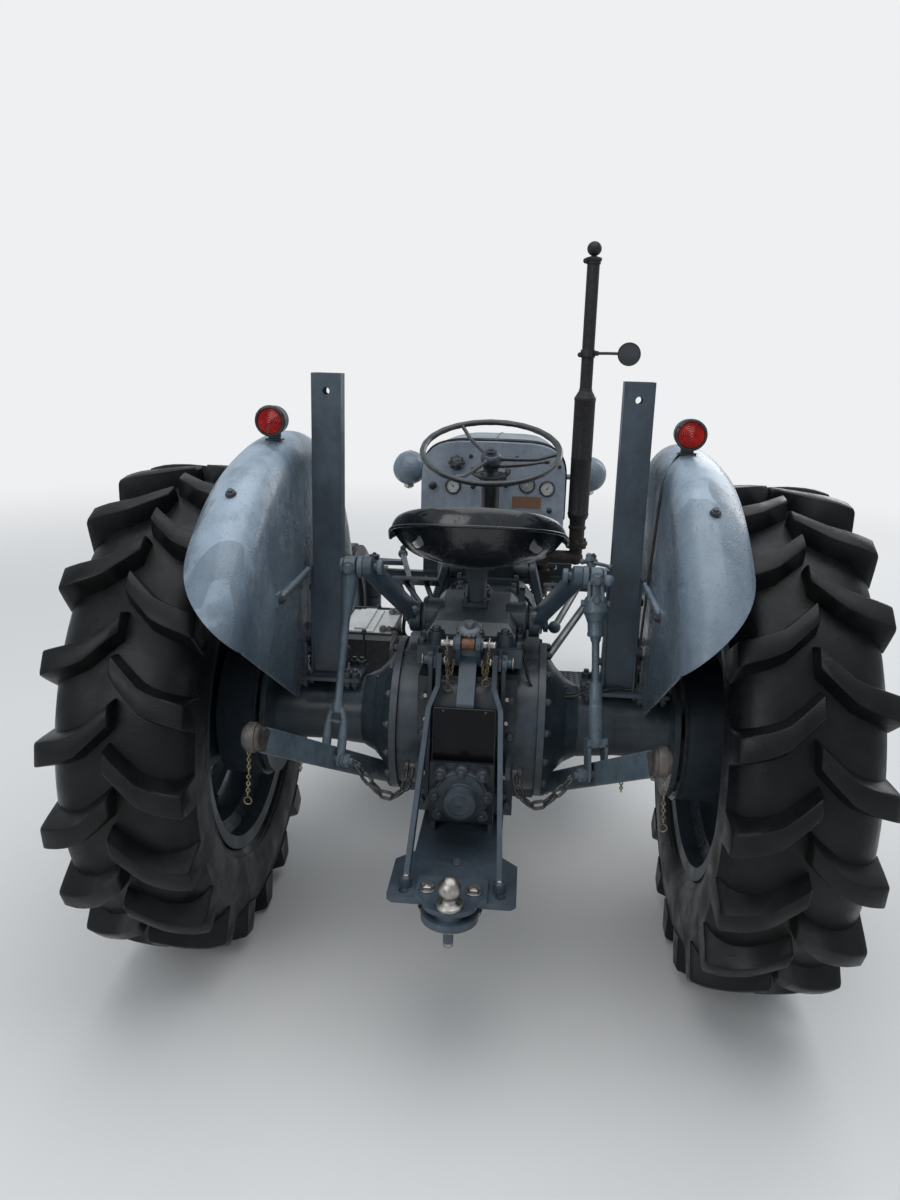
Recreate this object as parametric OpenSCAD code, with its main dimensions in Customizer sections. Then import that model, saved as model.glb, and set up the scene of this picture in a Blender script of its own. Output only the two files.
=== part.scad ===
/* [Whole tractor] */
// Distance from the rear axle to the front axle
wheelbase = 1778; // [1700:2:1840]
// Distance between the middles of the rear treads
rear_track = 1422; // [1400:2:1460]
// Distance between the middles of the front treads
front_track = 1320; // [1300:2:1360]

/* [Rear wheels] */
// Radius of a rear tyre to the tips of its lugs
rear_tyre_r = 628; // [620:1:636]
// Width of a rear tyre over its lugs
rear_tyre_w = 315; // [300:1:330]
// Radius of the rear rim's bead seat
rear_rim_r = 356; // [345:1:365]
// Pairs of lugs round a rear tyre
lug_pairs = 20; // [16:1:24]
// Height of a lug over the tread
lug_h = 42; // [24:1:46]
// Width of a lug at its top
lug_w = 50; // [30:1:60]
// How far inboard of the rim's middle the rear hub face lies
rear_dish = 75; // [60:1:85]
// Radius of a brake drum
drum_r = 185; // [160:1:200]

/* [Front wheels] */
// Radius of a front tyre
front_tyre_r = 350; // [340:1:360]
// Width of a front tyre
front_tyre_w = 112; // [100:1:118]
// Radius of the front rim's bead seat
front_rim_r = 241; // [230:1:250]
// Radius of the stub axle
stub_r = 17; // [14:0.5:20]

/* [Steering] */
// Distance from the middle of a front tread to its kingpin
kingpin_inset = 105; // [100:1:120]
// Radius of a kingpin
kingpin_r = 19; // [15:0.5:22]
// Length of a steering arm
steer_arm_l = 130; // [115:1:140]
// Length of a drop arm
drop_arm_l = 200; // [180:1:210]
// Radius of the steering wheel to the middle of its rim
steering_wheel_r = 218; // [200:1:230]
// Thickness of the steering wheel's rim
steering_rim_d = 22; // [16:1:28]
// Lean of the steering column from upright, in degrees
column_lean = 20.6; // [18:0.2:24]
// Length of the steering column
column_l = 350; // [330:1:370]

/* [Rear housing] */
// Radius of the axle casting where it bolts to the centre housing
bell_r = 185; // [170:1:195]
// Radius of the axle casting at its outer end
trumpet_r = 84; // [76:1:92]
// Half the width of the centre housing
centre_half_w = 172; // [160:1:185]
// Height of the power take-off
pto_z = 545; // [530:1:560]
// Radius of a rear axle shaft
axle_shaft_r = 30; // [25:0.5:36]

/* [Linkage] */
// Distance from the middle to a lower link's front pin
link_pin_x = 205; // [200:1:215]
// Distance from the middle to a lower link's ball
link_ball_x = 410; // [395:1:415]
// Height of a lower link's bar
link_bar_h = 55; // [45:1:60]
// Thickness of a lower link's bar
link_bar_t = 14; // [10:1:16]
// Radius of the hole in a lower link's ball
ball_hole_r = 11.2; // [9:0.1:14]
// Radius of the lift cross-shaft
lift_shaft_r = 22; // [18:0.5:26]
// Radius of a lift rod
lift_rod_r = 11; // [9:0.5:13]
// Radius of the top link's pin
top_pin_r = 9.5; // [8:0.5:11]

/* [Posts and wings] */
// Distance from the middle to a post's middle
post_x = 372; // [365:1:378]
// Width of a post
post_w = 72; // [60:1:76]
// Depth of a post
post_d = 50; // [40:1:60]
// Height of a post's top over the ground
post_top = 1495; // [1400:5:1550]
// Distance from the middle to a wing's side plate
wing_x = 430; // [424:1:440]
// Distance from the middle to a wing's outer edge
wing_edge_x = 585; // [560:1:600]
// Radius of a wing's crown about the rear axle
wing_r = 722; // [712:1:740]
// Thickness of the wings' sheet
wing_t = 3; // [2:0.5:4]

/* [Hitch] */
// Height of the hitch plate's top
hitch_z = 420; // [410:1:430]
// Half the width of the hitch plate
hitch_half_w = 140; // [130:1:150]
// Radius of the tow ball
tow_ball_r = 25; // [20:0.5:30]

/* [Seat] */
// Half the width of the seat pan
seat_half_w = 230; // [210:1:240]
// Half the length of the seat pan
seat_half_l = 190; // [170:1:200]
// Depth of the seat pan
seat_depth = 77; // [50:1:90]
// Height of the seat pan's rim at its sides
seat_rim_z = 1100; // [1085:1:1115]
// How far the seat's back rises over the sides
seat_back_rise = 84; // [60:1:95]

/* [Bonnet] */
// Half the width of the bonnet at the dash
bonnet_half_w = 250; // [235:1:252]
// Half the width of the bonnet behind the grille
nose_half_w = 200; // [190:1:215]
// Height of the bonnet at the dash
bonnet_top = 1255; // [1240:1:1270]
// How far the nose reaches ahead of the front axle
nose_reach = 362; // [355:1:375]
// Thickness of the bonnet's sheet
bonnet_t = 3; // [2:0.5:4]
// Upright bars in the grille
grille_bars = 15; // [9:2:19]

/* [Exhaust] */
// Distance from the middle to the exhaust stack
stack_x = 303; // [300:1:310]
// Radius of the silencer
silencer_r = 36; // [30:1:38]
// Radius of the exhaust pipe
stack_r = 21; // [16:0.5:24]
// Height of the top of the pipe
stack_top = 1860; // [1800:5:1900]

/* [Battery] */
// Length of the battery
battery_l = 300; // [260:1:320]
// Width of the battery
battery_w = 175; // [160:1:180]
// Height of the battery
battery_h = 215; // [200:1:230]

/* [Hidden] */

// Clearances and common thicknesses
fit = 0.05;        // radial clearance of a pin or shaft that turns
seat_gap = 0.3;    // gap between two pieces that rest on each other
run_gap = 6;       // least gap between pieces that pass each other
plate_t = 10;      // heavy steel plate
sheet_t = 4;       // light steel plate
$fn = 48;

// The origin lies on the ground under the middle of the outline
mid_y = (wheelbase + nose_reach - rear_tyre_r) / 2;
axle_z = rear_tyre_r;
kingpin_x = front_track / 2 - kingpin_inset;
stub_z = front_tyre_r;

// Where the main castings meet, ahead of the rear axle
gearbox_rear = 300;
engine_front = wheelbase - 178;
engine_rear = engine_front - 560;
clutch_rear = engine_rear - 160;
dash_y = engine_rear - 55;
nose_y = wheelbase + nose_reach;

// Colours
paint = [0.33, 0.40, 0.44];
pale_paint = [0.50, 0.57, 0.61];
dark_paint = [0.22, 0.26, 0.29];
rubber = [0.07, 0.07, 0.07];
black = [0.10, 0.10, 0.10];
bare_steel = [0.62, 0.62, 0.60];

// Helpers

module in_place() translate([0, -mid_y, 0]) children();

// Turns a shape made round Z so that it lies round X
module across() rotate([0, 90, 0]) children();

// A shape for the right-hand side, and its mirror image for the left
module on_side(side) mirror([side < 0 ? 1 : 0, 0, 0]) children();
module both_sides() { children(); mirror([1, 0, 0]) children(); }

module round_bar_x(x0, x1, r) translate([x0, 0, 0]) across() cylinder(h = x1 - x0, r = r);
module round_bar_y(y0, y1, r) translate([0, y1, 0]) rotate([90, 0, 0]) cylinder(h = y1 - y0, r = r);

// Turns Z towards the line from p to q
module along(p, q) {
    v = q - p;
    translate(p) rotate([0, acos(v.z / norm(v)), atan2(v.y, v.x)]) children();
}
module rod(p, q, r) along(p, q) cylinder(h = norm(q - p), r = r);
// A flat bar on edge: h is its height and t its thickness
module bar(p, q, h, t) along(p, q) translate([-h / 2, -t / 2, 0]) cube([h, t, norm(q - p)]);

// A flat bar through points, with its thickness along X and its height across the path
module strap(points, height, thick) {
    last = len(points) - 1;
    function flat_dir(a, b) = let (d = [0, b.y - a.y, b.z - a.z]) d / norm(d);
    function across_at(i) = let (d = i == 0 ? flat_dir(points[0], points[1]) : i == last ? flat_dir(points[i - 1], points[i])
        : flat_dir(points[i - 1], points[i]) + flat_dir(points[i], points[i + 1]), e = d / norm(d)) [0, -e.z, e.y];
    loft([for (i = [0:last]) let (h = across_at(i) * height / 2, t = [thick / 2, 0, 0])
        [points[i] - h - t, points[i] - h + t, points[i] + h + t, points[i] + h - t]]);
}

// A turned body on the line from p to q: each point is a radius and a distance from p
module turned(p, q, profile) along(p, q) rotate_extrude() polygon(profile);

// A box given by its low and high corners
module box(low, high) translate(low) cube(high - low);

// Mirror image of a half profile, given from its foot to the middle
function whole(half) = concat(half, [for (i = [len(half) - 1:-1:0]) [half[i].x, -half[i].y]]);

// The same for a rim's inside, given from the well to the flange
function channel(half) = concat([for (i = [len(half) - 1:-1:0]) [half[i].x, -half[i].y]], half);

function triangles(quads) = [for (q = quads) each [[q[0], q[1], q[2]], [q[0], q[2], q[3]]]];

// A closed body through rings of points that have the same count
module loft(rings) {
    n = len(rings);
    m = len(rings[0]);
    sides = [for (i = [0:n - 2], j = [0:m - 1])
        [i * m + j, i * m + (j + 1) % m, (i + 1) * m + (j + 1) % m, (i + 1) * m + j]];
    caps = [[for (j = [m - 1:-1:0]) j], [for (j = [0:m - 1]) (n - 1) * m + j]];
    polyhedron([for (ring = rings) each ring], concat(triangles(sides), caps));
}

// A sheet with thickness between two like grids of points
module skin(outer, inner) {
    n = len(outer);
    m = len(outer[0]);
    function at(k, i, j) = (k * n + i) * m + j;
    quads = concat(
        [for (i = [0:n - 2], j = [0:m - 2]) [at(0, i, j), at(0, i, j + 1), at(0, i + 1, j + 1), at(0, i + 1, j)]],
        [for (i = [0:n - 2], j = [0:m - 2]) [at(1, i, j), at(1, i + 1, j), at(1, i + 1, j + 1), at(1, i, j + 1)]],
        [for (i = [0:n - 2]) [at(0, i, 0), at(0, i + 1, 0), at(1, i + 1, 0), at(1, i, 0)]],
        [for (i = [0:n - 2]) [at(0, i, m - 1), at(1, i, m - 1), at(1, i + 1, m - 1), at(0, i + 1, m - 1)]],
        [for (j = [0:m - 2]) [at(0, 0, j), at(1, 0, j), at(1, 0, j + 1), at(0, 0, j + 1)]],
        [for (j = [0:m - 2]) [at(0, n - 1, j), at(0, n - 1, j + 1), at(1, n - 1, j + 1), at(1, n - 1, j)]]
    );
    polyhedron([for (grid = [outer, inner]) for (row = grid) each row], triangles(quads));
}

// Rear wheels, made for the right-hand side round the middle of the tread

bead_x = 118;
flange_x = 124;
flange_r = rear_rim_r + 26;
tread_r = rear_tyre_r - lug_h;
rear_hub_r = 85;
hub_face_x = rear_track / 2 - rear_dish;

module rear_tyre() {
    half_w = rear_tyre_w / 2;
    // Radius, distance from the middle
    half = [[rear_rim_r + seat_gap, bead_x], [flange_r + 2, bead_x + 3], [(tread_r + rear_rim_r) / 2, half_w - 3],
        [tread_r - 60, half_w - 2], [tread_r - 12, half_w - 30], [tread_r, half_w / 2]];
    // Each station along a lug: distance from the middle, how far back it lies, top radius, foot radius
    lug = [[-5, 0, rear_tyre_r, tread_r - 13], [62, 64, rear_tyre_r, tread_r - 13],
        [half_w - 32, 92, rear_tyre_r - 6, tread_r - 27], [half_w, 98, rear_tyre_r - 20, tread_r - 56]];
    color(rubber) {
        across() rotate_extrude() polygon(whole(half));
        for (side = [-1, 1], k = [0:lug_pairs - 1])
            lug_bar(lug, side, (k + (side < 0 ? 0.5 : 0)) * 360 / lug_pairs);
    }
}
module lug_bar(stations, side, turn) {
    half_top = lug_w / 2;
    half_foot = half_top + 14;
    function on_tyre(x, back, r, shift) =
        let (a = turn + (back + shift) / rear_tyre_r * 180 / PI) [side * x, r * cos(a), r * sin(a)];
    rings = [for (s = stations) [on_tyre(s[0], s[1], s[3], -half_foot), on_tyre(s[0], s[1], s[2], -half_top),
        on_tyre(s[0], s[1], s[2], half_top), on_tyre(s[0], s[1], s[3], half_foot)]];
    loft(side < 0 ? rings : [for (i = [len(rings) - 1:-1:0]) rings[i]]);
}

module rear_rim() {
    t = 6;
    well_x = 70;
    well_r = rear_rim_r - 30;
    // Radius, distance from the middle, from the flange to the well
    outer = [[flange_r, flange_x + 6], [flange_r, flange_x], [rear_rim_r, bead_x + 2], [rear_rim_r, well_x + 20],
        [well_r, well_x]];
    inner = [[well_r - t, well_x - 4], [rear_rim_r - t, well_x + 16], [rear_rim_r - t, bead_x + 8],
        [flange_r - 8, flange_x + 6]];
    dish_x = -rear_dish;
    disc_edge_x = 6;
    disc_t = 8;
    disc_r = well_r - t - 22;
    color(dark_paint) {
        across() rotate_extrude() polygon(concat(whole(outer), channel(inner)));
        difference() {
            union() {
                across() rotate_extrude() polygon([[0, dish_x - 12], [rear_hub_r, dish_x - 12], [rear_hub_r + 25, dish_x],
                    [disc_r - 40, disc_edge_x - disc_t], [disc_r, disc_edge_x - disc_t], [disc_r, disc_edge_x],
                    [disc_r - 44, disc_edge_x], [rear_hub_r + 22, dish_x + disc_t], [0, dish_x + disc_t]]);
                for (a = [0:60:300]) rotate([a, 0, 0])
                    box([disc_edge_x - 4, -30, disc_r - 30], [disc_edge_x + 4, 30, well_r - 3]);
                round_bar_x(dish_x - 12, dish_x + 50, 45);
            }
            for (a = [30:60:330]) rotate([a, 0, 0]) translate([dish_x, 0, (rear_hub_r + disc_r) / 2])
                across() cylinder(h = rear_dish + disc_t * 2, r = 22);
        }
        // Brake drum and the axle shaft that carries the wheel
        round_bar_x(dish_x - 100, dish_x - 11, drum_r);
        round_bar_x(dish_x - 260, dish_x - 99, axle_shaft_r);
    }
}
module at_rear_wheel(side) in_place() on_side(side) translate([rear_track / 2, 0, axle_z]) children();

// Front wheels, made for the right-hand side round the middle of the tread

module front_tyre() {
    half_w = front_tyre_w / 2;
    rib = 9;
    // Radius, distance from the middle
    half = [[front_rim_r + seat_gap, 38], [front_rim_r + 14, 41], [(front_rim_r + front_tyre_r) / 2, half_w],
        [front_tyre_r - 26, half_w - 8], [front_tyre_r - 12, half_w - 16], [front_tyre_r - 12, 14],
        [front_tyre_r, 11]];
    color(rubber) across() rotate_extrude($fn = 40) polygon(whole(half));
}
module front_rim() {
    t = 5;
    lip_r = front_rim_r + 14;
    well_r = front_rim_r - 22;
    hub_r = 42;
    outer = [[lip_r, 46], [lip_r, 42], [front_rim_r, 38], [front_rim_r, 30], [well_r, 22]];
    inner = [[well_r - t, 20], [front_rim_r - t, 30], [front_rim_r - t, 42], [lip_r - 4, 46]];
    color(dark_paint) difference() {
        union() {
            across() rotate_extrude() polygon(concat(whole(outer), channel(inner)));
            across() rotate_extrude() polygon([[0, 8], [75, 8], [105, 24], [150, 24], [well_r - 2, 4],
                [well_r - 2, -4], [148, 16], [107, 16], [77, 0], [0, 0]]);
            round_bar_x(-62, 50, hub_r);
            round_bar_x(49, 66, 28);
        }
        round_bar_x(-70, 45, stub_r + fit);
    }
}
module knuckle() {
    arm_z = front_axle_top + run_gap;
    color(paint) {
        cylinder_at([0, 0, stub_z - 34], arm_z + 26, kingpin_r);
        cylinder_at([0, 0, stub_z - 44], front_boss_low - run_gap, kingpin_r + 13);
        translate([0, 0, stub_z]) round_bar_x(0, kingpin_inset + 44, stub_r);
        translate([0, 0, stub_z]) round_bar_x(0, kingpin_inset - 66, stub_r + 11);
        difference() {
            hull() {
                translate([0, 0, arm_z]) cylinder(h = 20, r = kingpin_r + 11);
                translate([-steer_arm_l, 0, arm_z]) cylinder(h = 20, r = 20);
            }
            translate([-steer_arm_l, 0, arm_z - 1]) cylinder(h = 22, r = 8);
        }
    }
}
module cylinder_at(p, top, r) translate(p) cylinder(h = top - p.z, r = r);
module at_kingpin(side) in_place() on_side(side) translate([kingpin_x, wheelbase, 0]) children();
module at_front_wheel(side) in_place() on_side(side) translate([front_track / 2, wheelbase, stub_z]) children();

// Front axle: a centre beam, two extensions and the radius arms

front_boss_low = 470;
front_axle_top = 612;
beam_low = 560;
beam_high = 660;
beam_half_l = 330;
beam_half_t = 26;
ext_h = 58;
ext_t = 34;
pivot_z = 610;
pivot_r = 20;
radius_arm_foot = [150, gearbox_rear + 340, 486];
module front_axle() {
    ext_y = beam_half_t + ext_t / 2;
    ext_z = 575;
    color(paint) translate([0, wheelbase, 0]) difference() {
        union() {
            box([-beam_half_l, -beam_half_t, beam_low], [beam_half_l, beam_half_t, beam_high]);
            translate([0, 0, pivot_z]) round_bar_y(-62, 62, 46);
            both_sides() {
                box([150, -beam_half_t - ext_t, ext_z - ext_h / 2], [kingpin_x - 20, -beam_half_t + 1, ext_z + ext_h / 2]);
                box([kingpin_x - 60, -beam_half_t - ext_t, ext_z - ext_h / 2], [kingpin_x, beam_half_t, ext_z + ext_h / 2]);
                cylinder_at([kingpin_x, 0, front_boss_low], front_axle_top, kingpin_r + 14);
                rod([kingpin_x - 110, -ext_y, ext_z - 20], radius_arm_foot - [0, wheelbase, 0], 15);
            }
        }
        both_sides() translate([kingpin_x, 0, front_boss_low - 1]) cylinder(h = 300, r = kingpin_r + fit);
        translate([0, 0, pivot_z]) round_bar_y(-70, 70, pivot_r + fit);
    }
}

// The casting ahead of the engine, which carries the axle's pivot, the radiator and the bonnet's hinge

hinge_y = nose_y - 78;
hinge_z = 640;
hinge_r = 9;
hinge_x = 118;
module front_support() {
    leg = 20;
    half_w = 110;
    top = 745;
    front = hinge_y + 20;
    color(paint) in_place() {
        difference() {
            union() {
                box([-half_w, engine_front + seat_gap, beam_high + run_gap + 20], [half_w, front, top]);
                box([-half_w, engine_front + seat_gap, 480], [half_w, engine_front + 40, top]);
                for (y = [wheelbase - 62 - seat_gap - leg, wheelbase + 62 + seat_gap])
                    box([-70, y, pivot_z - 50], [70, y + leg, top]);
                box([-half_w, front - 24, hinge_z - 30], [half_w, front, top]);
                translate([0, hinge_y, hinge_z]) both_sides() round_bar_x(hinge_x - 10, hinge_x + 10, 20);
            }
            translate([0, 0, pivot_z]) round_bar_y(engine_front + 50, front + 1, pivot_r + fit);
            box([-half_w + 25, wheelbase + 62 + leg + 10, 600], [half_w - 25, front - 40, top + 1]);
            translate([0, hinge_y, hinge_z]) round_bar_x(-hinge_x - 20, hinge_x + 20, hinge_r + fit);
        }
        // The pin on which the axle would rock
        translate([0, 0, pivot_z]) round_bar_y(wheelbase - 84, wheelbase + 84, pivot_r);
    }
}

// Engine

head_top = 900;
manifold_z = head_top - 50;
fan_z = head_top - 25;
module engine() {
    color(paint) in_place() {
        box([-120, engine_rear, 500], [120, engine_front, 800]);
        box([-105, engine_rear + 15, 800], [105, engine_front - 15, head_top]);
        // Rocker cover with its rounded top
        translate([-10, 0, head_top]) intersection() {
            translate([0, 0, 10]) round_bar_y(engine_rear + 50, engine_front - 50, 74);
            box([-90, 0, 0], [90, wheelbase, 90]);
        }
        // Sump with its ribbed floor
        box([-105, engine_rear, 400], [105, engine_front - 130, 500]);
        box([-115, engine_rear, 485], [115, engine_front, 501]);
        for (x = [-80:32:80]) box([x - 4, engine_rear + 30, 388], [x + 4, engine_front - 160, 401]);
    }
}
module engine_units() {
    dynamo = [-190, engine_front - 220, 770];
    filter_y = engine_rear + 200;
    spark_y = engine_rear + 80;
    color(dark_paint) in_place() {
        // Dynamo on its bracket
        translate(dynamo) round_bar_y(0, 190, 56);
        translate(dynamo) round_bar_y(189, 215, 40);
        box([-200, dynamo.y + 40, 700], [-120 - seat_gap, dynamo.y + 70, 740]);
        // Oil filter
        cylinder_at([-172, filter_y, 640], 800, 44);
        box([-190, filter_y - 20, 740], [-120 - seat_gap, filter_y + 20, 780]);
        // Distributor
        cylinder_at([-165, spark_y, 690], 830, 22);
        cylinder_at([-165, spark_y, 830], 875, 38);
        box([-180, spark_y - 20, 690], [-120 - seat_gap, spark_y + 20, 730]);
    }
    // Fan on the water pump
    color(black) in_place() translate([0, 0, fan_z]) {
        round_bar_y(engine_front - 15 + seat_gap, engine_front + 62, 34);
        for (a = [45:90:315]) rotate([0, a, 0]) translate([0, engine_front + 46, 0])
            rotate([0, 0, 28]) translate([-26, -3, 20]) cube([52, 6, 105]);
        round_bar_y(engine_front + 10, engine_front + 30, 60);
    }
}
module manifold() {
    // Each port's distance ahead of the engine's rear
    ports = [70, 200, 340, 470];
    x0 = 105 + seat_gap;
    z = manifold_z;
    color([0.35, 0.28, 0.24]) in_place() {
        for (p = ports) translate([0, engine_rear + p, z]) round_bar_x(x0, 180, 21);
        translate([180, 0, z]) round_bar_y(stack_y - 30, engine_rear + 500, 30);
        // Branch, elbow and flange under the stack
        translate([0, stack_y, z]) round_bar_x(180, stack_x, 24);
        translate([stack_x, stack_y, z]) sphere(r = 27);
        cylinder_at([stack_x, stack_y, z], stack_foot - seat_gap, 23);
        cylinder_at([stack_x, stack_y, stack_foot - 14], stack_foot - seat_gap, 36);
        // Carburettor under the manifold
        cylinder_at([190, engine_rear + 260, 730], z, 24);
        box([160, engine_rear + 225, 660], [222, engine_rear + 295, 735]);
        translate([190, engine_rear + 260, 760]) round_bar_y(0, 90, 22);
    }
}
module radiator() {
    y = wheelbase - 43;
    outlet_y = engine_front - 32;
    color(black) in_place() {
        box([-190, y, 760], [190, y + 70, 1060]);
        box([-195, y - 8, 1055], [195, y + 78, 1120]);
        box([-195, y - 8, 745 + seat_gap], [195, y + 78, 775]);
        cylinder_at([0, y + 35, 1119], 1138, 30);
        cylinder_at([0, outlet_y, head_top + seat_gap], head_top + 28, 16);
        rod([0, outlet_y, head_top + 25], [0, y + 10, 1085], 16);
    }
}

// Gearbox with the clutch housing ahead of it

crank_z = 600;
module gearbox() {
    half_w = 130;
    top = 760;
    lever_y = gearbox_rear + 260;
    color(paint) in_place() {
        translate([0, 0, crank_z]) round_bar_y(clutch_rear, engine_rear - seat_gap, 185);
        intersection() {
            box([-half_w, gearbox_rear, 400], [half_w, clutch_rear + 1, top]);
            translate([0, 0, 590]) round_bar_y(gearbox_rear - 1, clutch_rear + 2, 215);
        }
        box([-150, gearbox_rear, 420], [150, gearbox_rear + 26, top + 10]);
        // Top cover and gear lever
        box([-100, gearbox_rear + 120, top - 1], [100, clutch_rear - 110, top + 34]);
        box([-108, clutch_rear - 111, top - 1], [108, dash_y, top + 34]);
        cylinder_at([0, lever_y, top + 33], top + 60, 32);
        rod([0, lever_y, top + 55], [0, lever_y - 60, top + 240], 8);
        translate([0, lever_y - 60, top + 240]) sphere(r = 20);
        // Bosses for the radius arms
        both_sides() translate([0, radius_arm_foot.y + 8, radius_arm_foot.z])
            round_bar_x(90, radius_arm_foot.x - 15 - seat_gap, 24);
        // Pads for the footplates' brackets
        for (y = bracket_y) box([-half_w, y, 400], [half_w, y + 40, 440]);
    }
}

// Steering box, column and wheel

wheel_mid = [0, dash_y - 299, 1250];
column_dir = [0, sin(column_lean), -cos(column_lean)];
box_top = wheel_mid + column_dir * (column_l + 48);
drop_x = 155;
drop_axis = [0, box_top.y + 40, 826];
drop_axis_r = 17;
module steering_box() {
    half_w = 85;
    color(paint) in_place() {
        difference() {
            union() {
                box([-half_w, drop_axis.y - 75, 800], [half_w, drop_axis.y + 60, box_top.z - 8]);
                box([-105, drop_axis.y - 90, 794 + seat_gap], [105, drop_axis.y + 70, 812]);
                translate(drop_axis) round_bar_x(-drop_x + 20, drop_x - 20, 30);
            }
            translate(drop_axis) round_bar_x(-drop_x, drop_x, drop_axis_r + fit);
        }
        difference() {
            rod(box_top + column_dir * 60, wheel_mid + column_dir * 48, 19);
            rod(wheel_mid + column_dir * 130, wheel_mid + column_dir * 40, 9 + fit);
        }
    }
}
module steering_wheel() {
    spoke_drop = 26;
    spoke_r = 6;
    color(black) in_place() along(wheel_mid, wheel_mid - column_dir) {
        rotate_extrude($fn = 60) translate([steering_wheel_r, 0]) circle(d = steering_rim_d, $fn = 16);
        translate([0, 0, -spoke_drop - 14]) cylinder(h = 32, r = 32);
        translate([0, 0, -spoke_drop + 17]) cylinder(h = 8, r = 20);
        translate([0, 0, -125]) cylinder(h = 100, r = 9);
        for (a = [90, 210, 330]) rotate([0, 0, a]) {
            rod([20, 0, -spoke_drop], [150, 0, -spoke_drop], spoke_r);
            rod([148, 0, -spoke_drop], [steering_wheel_r - 4, 0, 0], spoke_r);
            translate([149, 0, -spoke_drop]) sphere(r = spoke_r, $fn = 24);
        }
    }
}
drop_ball_x = 238;
drop_end = [drop_ball_x, drop_axis.y, drop_axis.z - drop_arm_l];
module drop_arm() {
    color(paint) {
        translate(drop_axis) round_bar_x(40, drop_x, drop_axis_r);
        difference() {
            hull() {
                translate(drop_axis) round_bar_x(drop_x - 14, drop_x + 6, 30);
                translate([0, drop_end.y, drop_end.z]) round_bar_x(drop_ball_x - 38, drop_ball_x - 23, 19);
            }
            translate([0, drop_end.y, drop_end.z]) round_bar_x(0, 400, 9);
        }
    }
}
module drag_link() {
    front = [kingpin_x - steer_arm_l, wheelbase, front_axle_top + run_gap + 50];
    color(paint) {
        rod(drop_end, front, 12);
        translate(drop_end) sphere(r = 22);
        translate([0, drop_end.y, drop_end.z]) round_bar_x(drop_ball_x - 40, drop_ball_x, 9 - fit);
        translate(front) sphere(r = 22);
        cylinder_at(front - [0, 0, 28], front.z, 9);
    }
}

// Rear housing

shaft_mid = [0, 60, 874];
cover_top = shaft_mid.z + lift_shaft_r + 14;
rear_face = -185;
stay_pin = [0, -206, 845];
chain_pin = [113, -250, 588];
module rear_housing() {
    top = 815;
    color(paint) in_place() difference() {
        union() {
            translate([0, 0, axle_z]) round_bar_x(-centre_half_w, centre_half_w, bell_r);
            box([-centre_half_w, -60, 430], [centre_half_w, gearbox_rear - seat_gap, top]);
            box([-120, rear_face, 440], [120, -50, top - 20]);
            // Lift cover with the bosses of the cross-shaft
            box([-128, -150, top - 1], [128, 280, 860]);
            hull() {
                box([-110, -120, 855], [110, 250, cover_top - 26]);
                box([-90, -90, cover_top - 26], [90, 220, cover_top]);
            }
            both_sides() translate(shaft_mid) round_bar_x(80, 136, 50);
            // Bosses of the cover's tall bolts: y, top
            both_sides() for (boss = [[-118, 892], [205, 886]])
                cylinder_at([84, boss[0], top], boss[1], 20);
            // Spring housing behind the rocker's middle
            box([-40, -146, top], [40, -96, 884]);
            // Take-off bearing housing and its flange
            translate([0, 0, pto_z]) round_bar_y(-290, rear_face + 1, 62);
            box([-76, -292, pto_z - 76], [76, -278, pto_z + 76]);
            translate([0, 0, pto_z]) round_bar_y(-318, -291, 58);
            translate([0, 0, pto_z]) round_bar_y(-350, -317, 37);
            // Ribs under the rear face
            for (x = [-70, 70]) box([x - 6, rear_face - 60, hitch_z + seat_gap], [x + 6, rear_face + 1, pto_z]);
            both_sides() {
                // Bosses for the lower links' pins
                box([110, link_pin.y - 34, link_pin.z], [centre_half_w, link_pin.y + 34, 440]);
                translate([0, link_pin.y, link_pin.z]) round_bar_x(110, link_pin_x - 16, 34);
                // Lugs for the hitch's stays and the check chains
                box([73, stay_pin.y - 16, stay_pin.z - 16], [80, -149, stay_pin.z + 13]);
                box([chain_pin.x - 12, chain_pin.y - 14, chain_pin.z - 16], [chain_pin.x, rear_face + 1, chain_pin.z + 16]);
            }
        }
        translate(shaft_mid) round_bar_x(-200, 200, lift_shaft_r + fit);
        translate([0, link_pin.y, link_pin.z]) round_bar_x(-300, 300, 14 + fit);
        translate([0, stay_pin.y, stay_pin.z]) round_bar_x(-100, 100, 9 + fit);
    }
}
module axle_housings() {
    end_x = hub_face_x - 12 - 100 - run_gap;
    // Radius, distance from the middle
    profile = [[0, centre_half_w + seat_gap], [bell_r + 14, centre_half_w + seat_gap], [bell_r + 14, centre_half_w + 18],
        [bell_r - 6, centre_half_w + 18], [bell_r - 44, centre_half_w + 42], [bell_r - 76, centre_half_w + 72],
        [trumpet_r + 8, centre_half_w + 104], [trumpet_r, centre_half_w + 200], [trumpet_r, end_x - 14],
        [drum_r - 6, end_x - 14], [drum_r - 6, end_x], [0, end_x]];
    color(paint) in_place() both_sides() difference() {
        union() {
            translate([0, 0, axle_z]) across() rotate_extrude() polygon(profile);
            // Pads on top that carry the posts
            for (x = [plate_x0 + 4, post_x + 40]) box([x, -34, axle_z + 40], [x + 44, 34, pad_z]);
        }
        translate([0, 0, axle_z]) round_bar_x(end_x - 150, end_x + 1, axle_shaft_r + fit);
    }
}

// Posts on plates that bolt to the axle pads

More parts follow.
